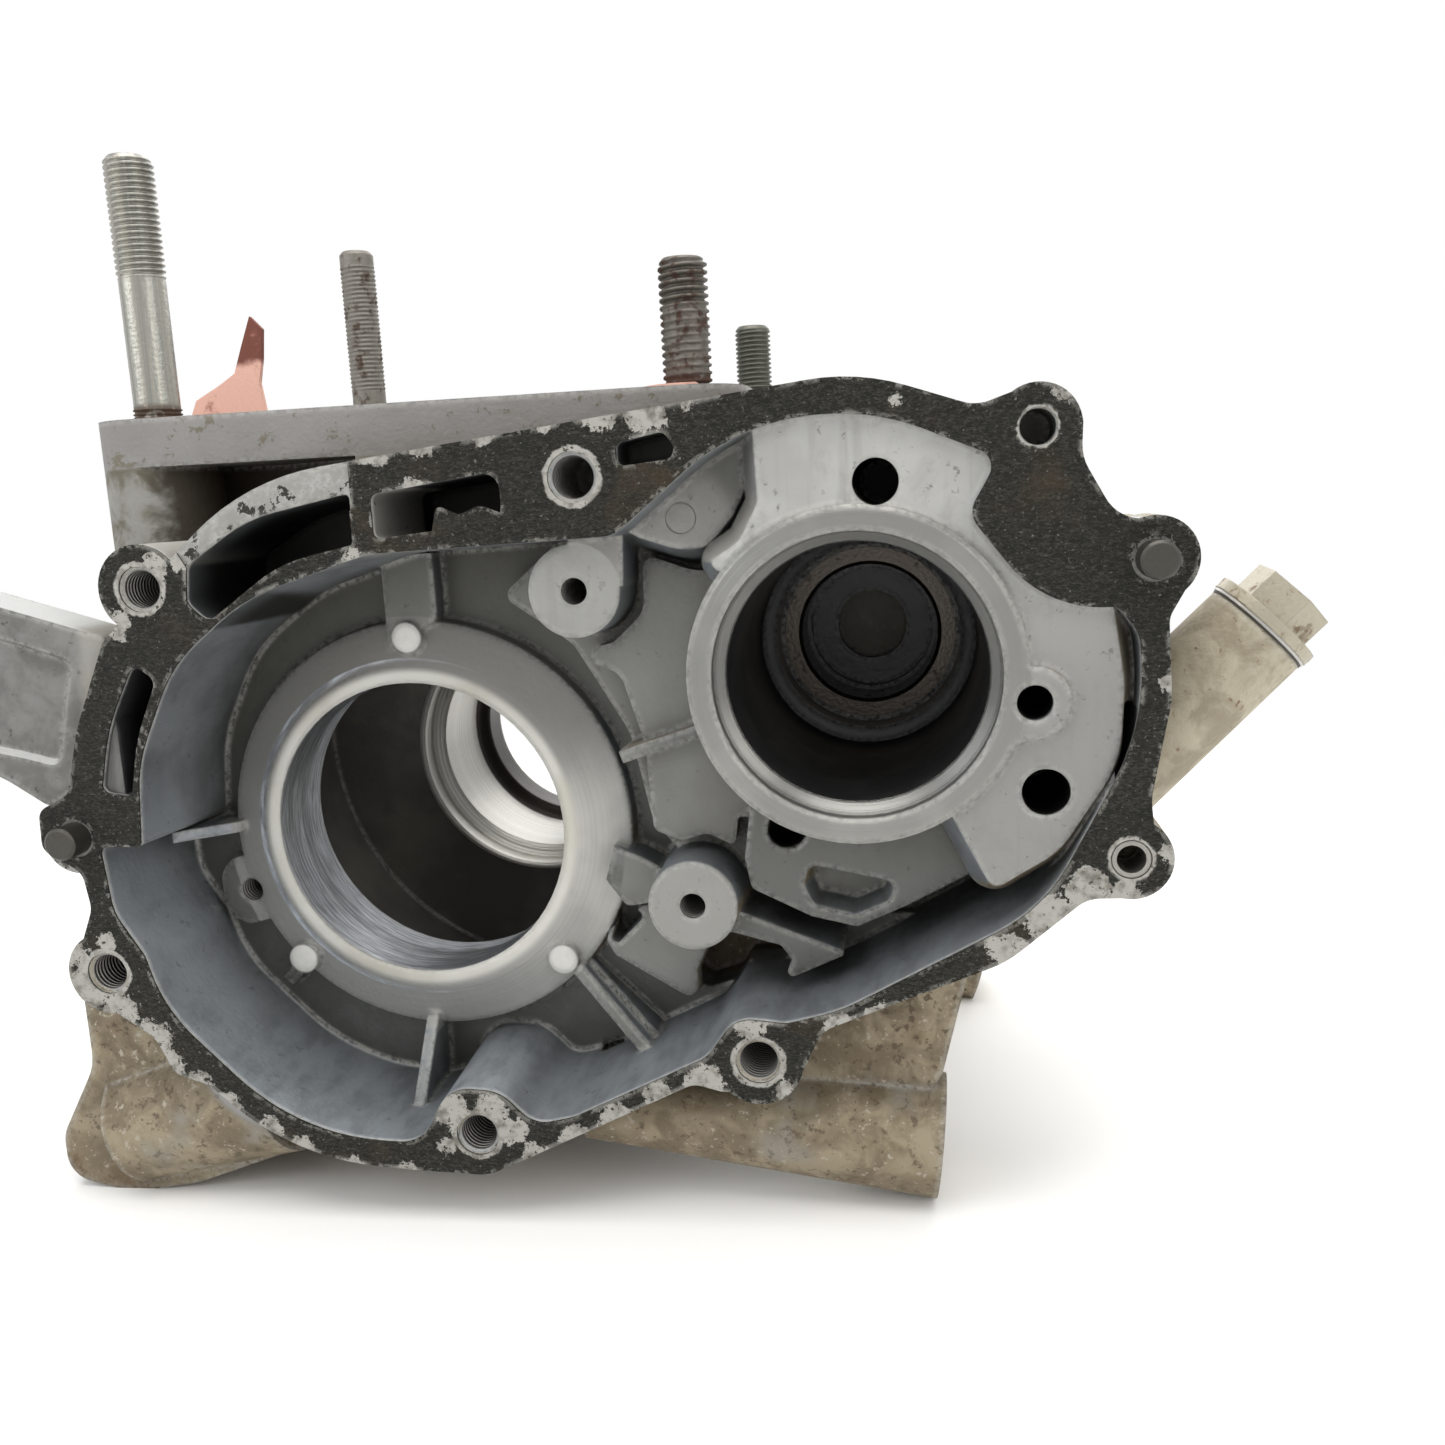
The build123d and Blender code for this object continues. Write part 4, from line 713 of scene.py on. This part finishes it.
# studs with their real threads; thread runs are heights above the deck in millimetres
studLooks = [
    {"node": "cylinder_stud_front_left", "place": (-58.5, 18), "tall": 54.3, "pitch": 1.25, "runs": [(29.5, 54.3)],
     "shank": 4.75, "deep": 0.62, "collars": [(0.0, 2.6)],
     "steel": {"name": "zincStud", "clean": (0.40, 0.38, 0.33), "rust": (0.085, 0.048, 0.026), "share": 0.12, "rough": 0.30,
               "rustBelow": 90.4, "streaks": (0.24, 0.245, 0.225)}},
    {"node": "cylinder_stud_rear_left", "place": (-58.5, 131), "tall": 54.3, "pitch": 1.25, "runs": [(14.0, 50.0)],
     "shank": 4.85, "deep": 0.28, "collars": [],
     "steel": {"name": "dullStud", "clean": (0.21, 0.195, 0.17), "rust": (0.10, 0.065, 0.045), "share": 0.42, "rough": 0.55,
               "metallic": 0.6}},
    {"node": "cylinder_stud_front_right", "place": (58.5, 18), "tall": 25.4, "pitch": 1.5, "runs": [(0.0, 25.4)],
     "shank": 4.75, "deep": 0.85, "collars": [], "debris": (-60, 30, 1.0, 16.0),
     "steel": {"name": "darkStud", "clean": (0.15, 0.138, 0.12), "rust": (0.085, 0.042, 0.028), "share": 0.45, "rough": 0.5,
               "rustBelow": 90.0}},
    {"node": "cylinder_stud_rear_right", "place": (58.5, 131), "tall": 25.4, "pitch": 1.25, "runs": [(0.0, 24.0)],
     "shank": 4.8, "deep": 0.6, "collars": [],
     "steel": {"name": "oilyStud", "clean": (0.12, 0.12, 0.10), "rust": (0.07, 0.05, 0.035), "share": 0.3, "rough": 0.45,
               "metallic": 0.7}}]
studBody = {"sides": 44, "crest": 5.0, "root": 4.75, "rootDepth": -22.0, "tip": 1.2, "tipSlope": 0.85, "levelsPerTurn": 7, "uneven": 0.03}


def threadedStud(look):
    sides, crest, root, tip = studBody["sides"], studBody["crest"], studBody["root"], studBody["tip"]
    centreX, centreY = look["place"]
    rise = look["pitch"] / studBody["levelsPerTurn"]
    levels = [studBody["rootDepth"], -0.05, 0.0]
    while levels[-1] + rise < look["tall"]:
        levels.append(levels[-1] + rise)
    levels.append(look["tall"])
    bm = bmesh.new()
    rows = []
    for level in levels:
        row = []
        for k in range(sides):
            angle = 2 * pi * k / sides
            r = look["shank"] if level >= 0 else root
            for low, high in look["runs"]:
                if low <= level <= high:
                    phase = (level / look["pitch"] - angle / (2 * pi)) % 1
                    cutShare = min(1.0, max(0.0, 1.5 - abs(phase - 0.5) * 4.2))
                    fade = min(1.0, (level - low) / 1.2) if low > 0 else 1.0
                    r = look["shank"] + (crest - look["shank"]) * fade - look["deep"] * cutShare * fade
            for low, high in look["collars"]:
                if low <= level <= high:
                    r = crest - 0.35 * (sin(level * 2.3 * pi) > 0.2)
            if "debris" in look and level >= 0:  # torn metal left in the thread
                first, last, low, high = look["debris"]
                turnedTo = (angle * 180 / pi + 180) % 360 - 180
                if first < turnedTo + 90 < last + 60 and low < level < high:
                    r = max(r, crest - 0.25 + 0.3 * noise.noise(Vector((angle * 3, level * 0.9, 3.0))))
            left = look["tall"] - level
            if left < tip:
                r = min(r, crest - (tip - left) * studBody["tipSlope"])
            r += studBody["uneven"] * noise.noise(Vector((cos(angle) * 3, sin(angle) * 3, level * 1.7)))
            r = min(r, crest if level >= 0 else root)
            row.append(bm.verts.new(((centreX + r * cos(angle)) * mm, (centreY + r * sin(angle)) * mm, (deckZ + level) * mm)))
        rows.append(row)
    for a, b in zip(rows, rows[1:]):
        for k in range(sides):
            bm.faces.new((a[k], a[(k + 1) % sides], b[(k + 1) % sides], b[k]))
    bm.faces.new(list(reversed(rows[0])))
    bm.faces.new(rows[-1])
    mesh = bpy.data.meshes.new(look["node"] + "_threads")
    bm.to_mesh(mesh)
    bm.free()
    for p in mesh.polygons:
        p.use_smooth = len(p.vertices) == 4
    obj = bpy.data.objects.new(look["node"] + "_threads", mesh)
    bpy.context.scene.collection.objects.link(obj)
    mesh.materials.append(steelMaterial(look["steel"]))
    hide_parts(look["node"])
    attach(obj, "root")


for look in studLooks:
    threadedStud(look)
print("studs threaded")
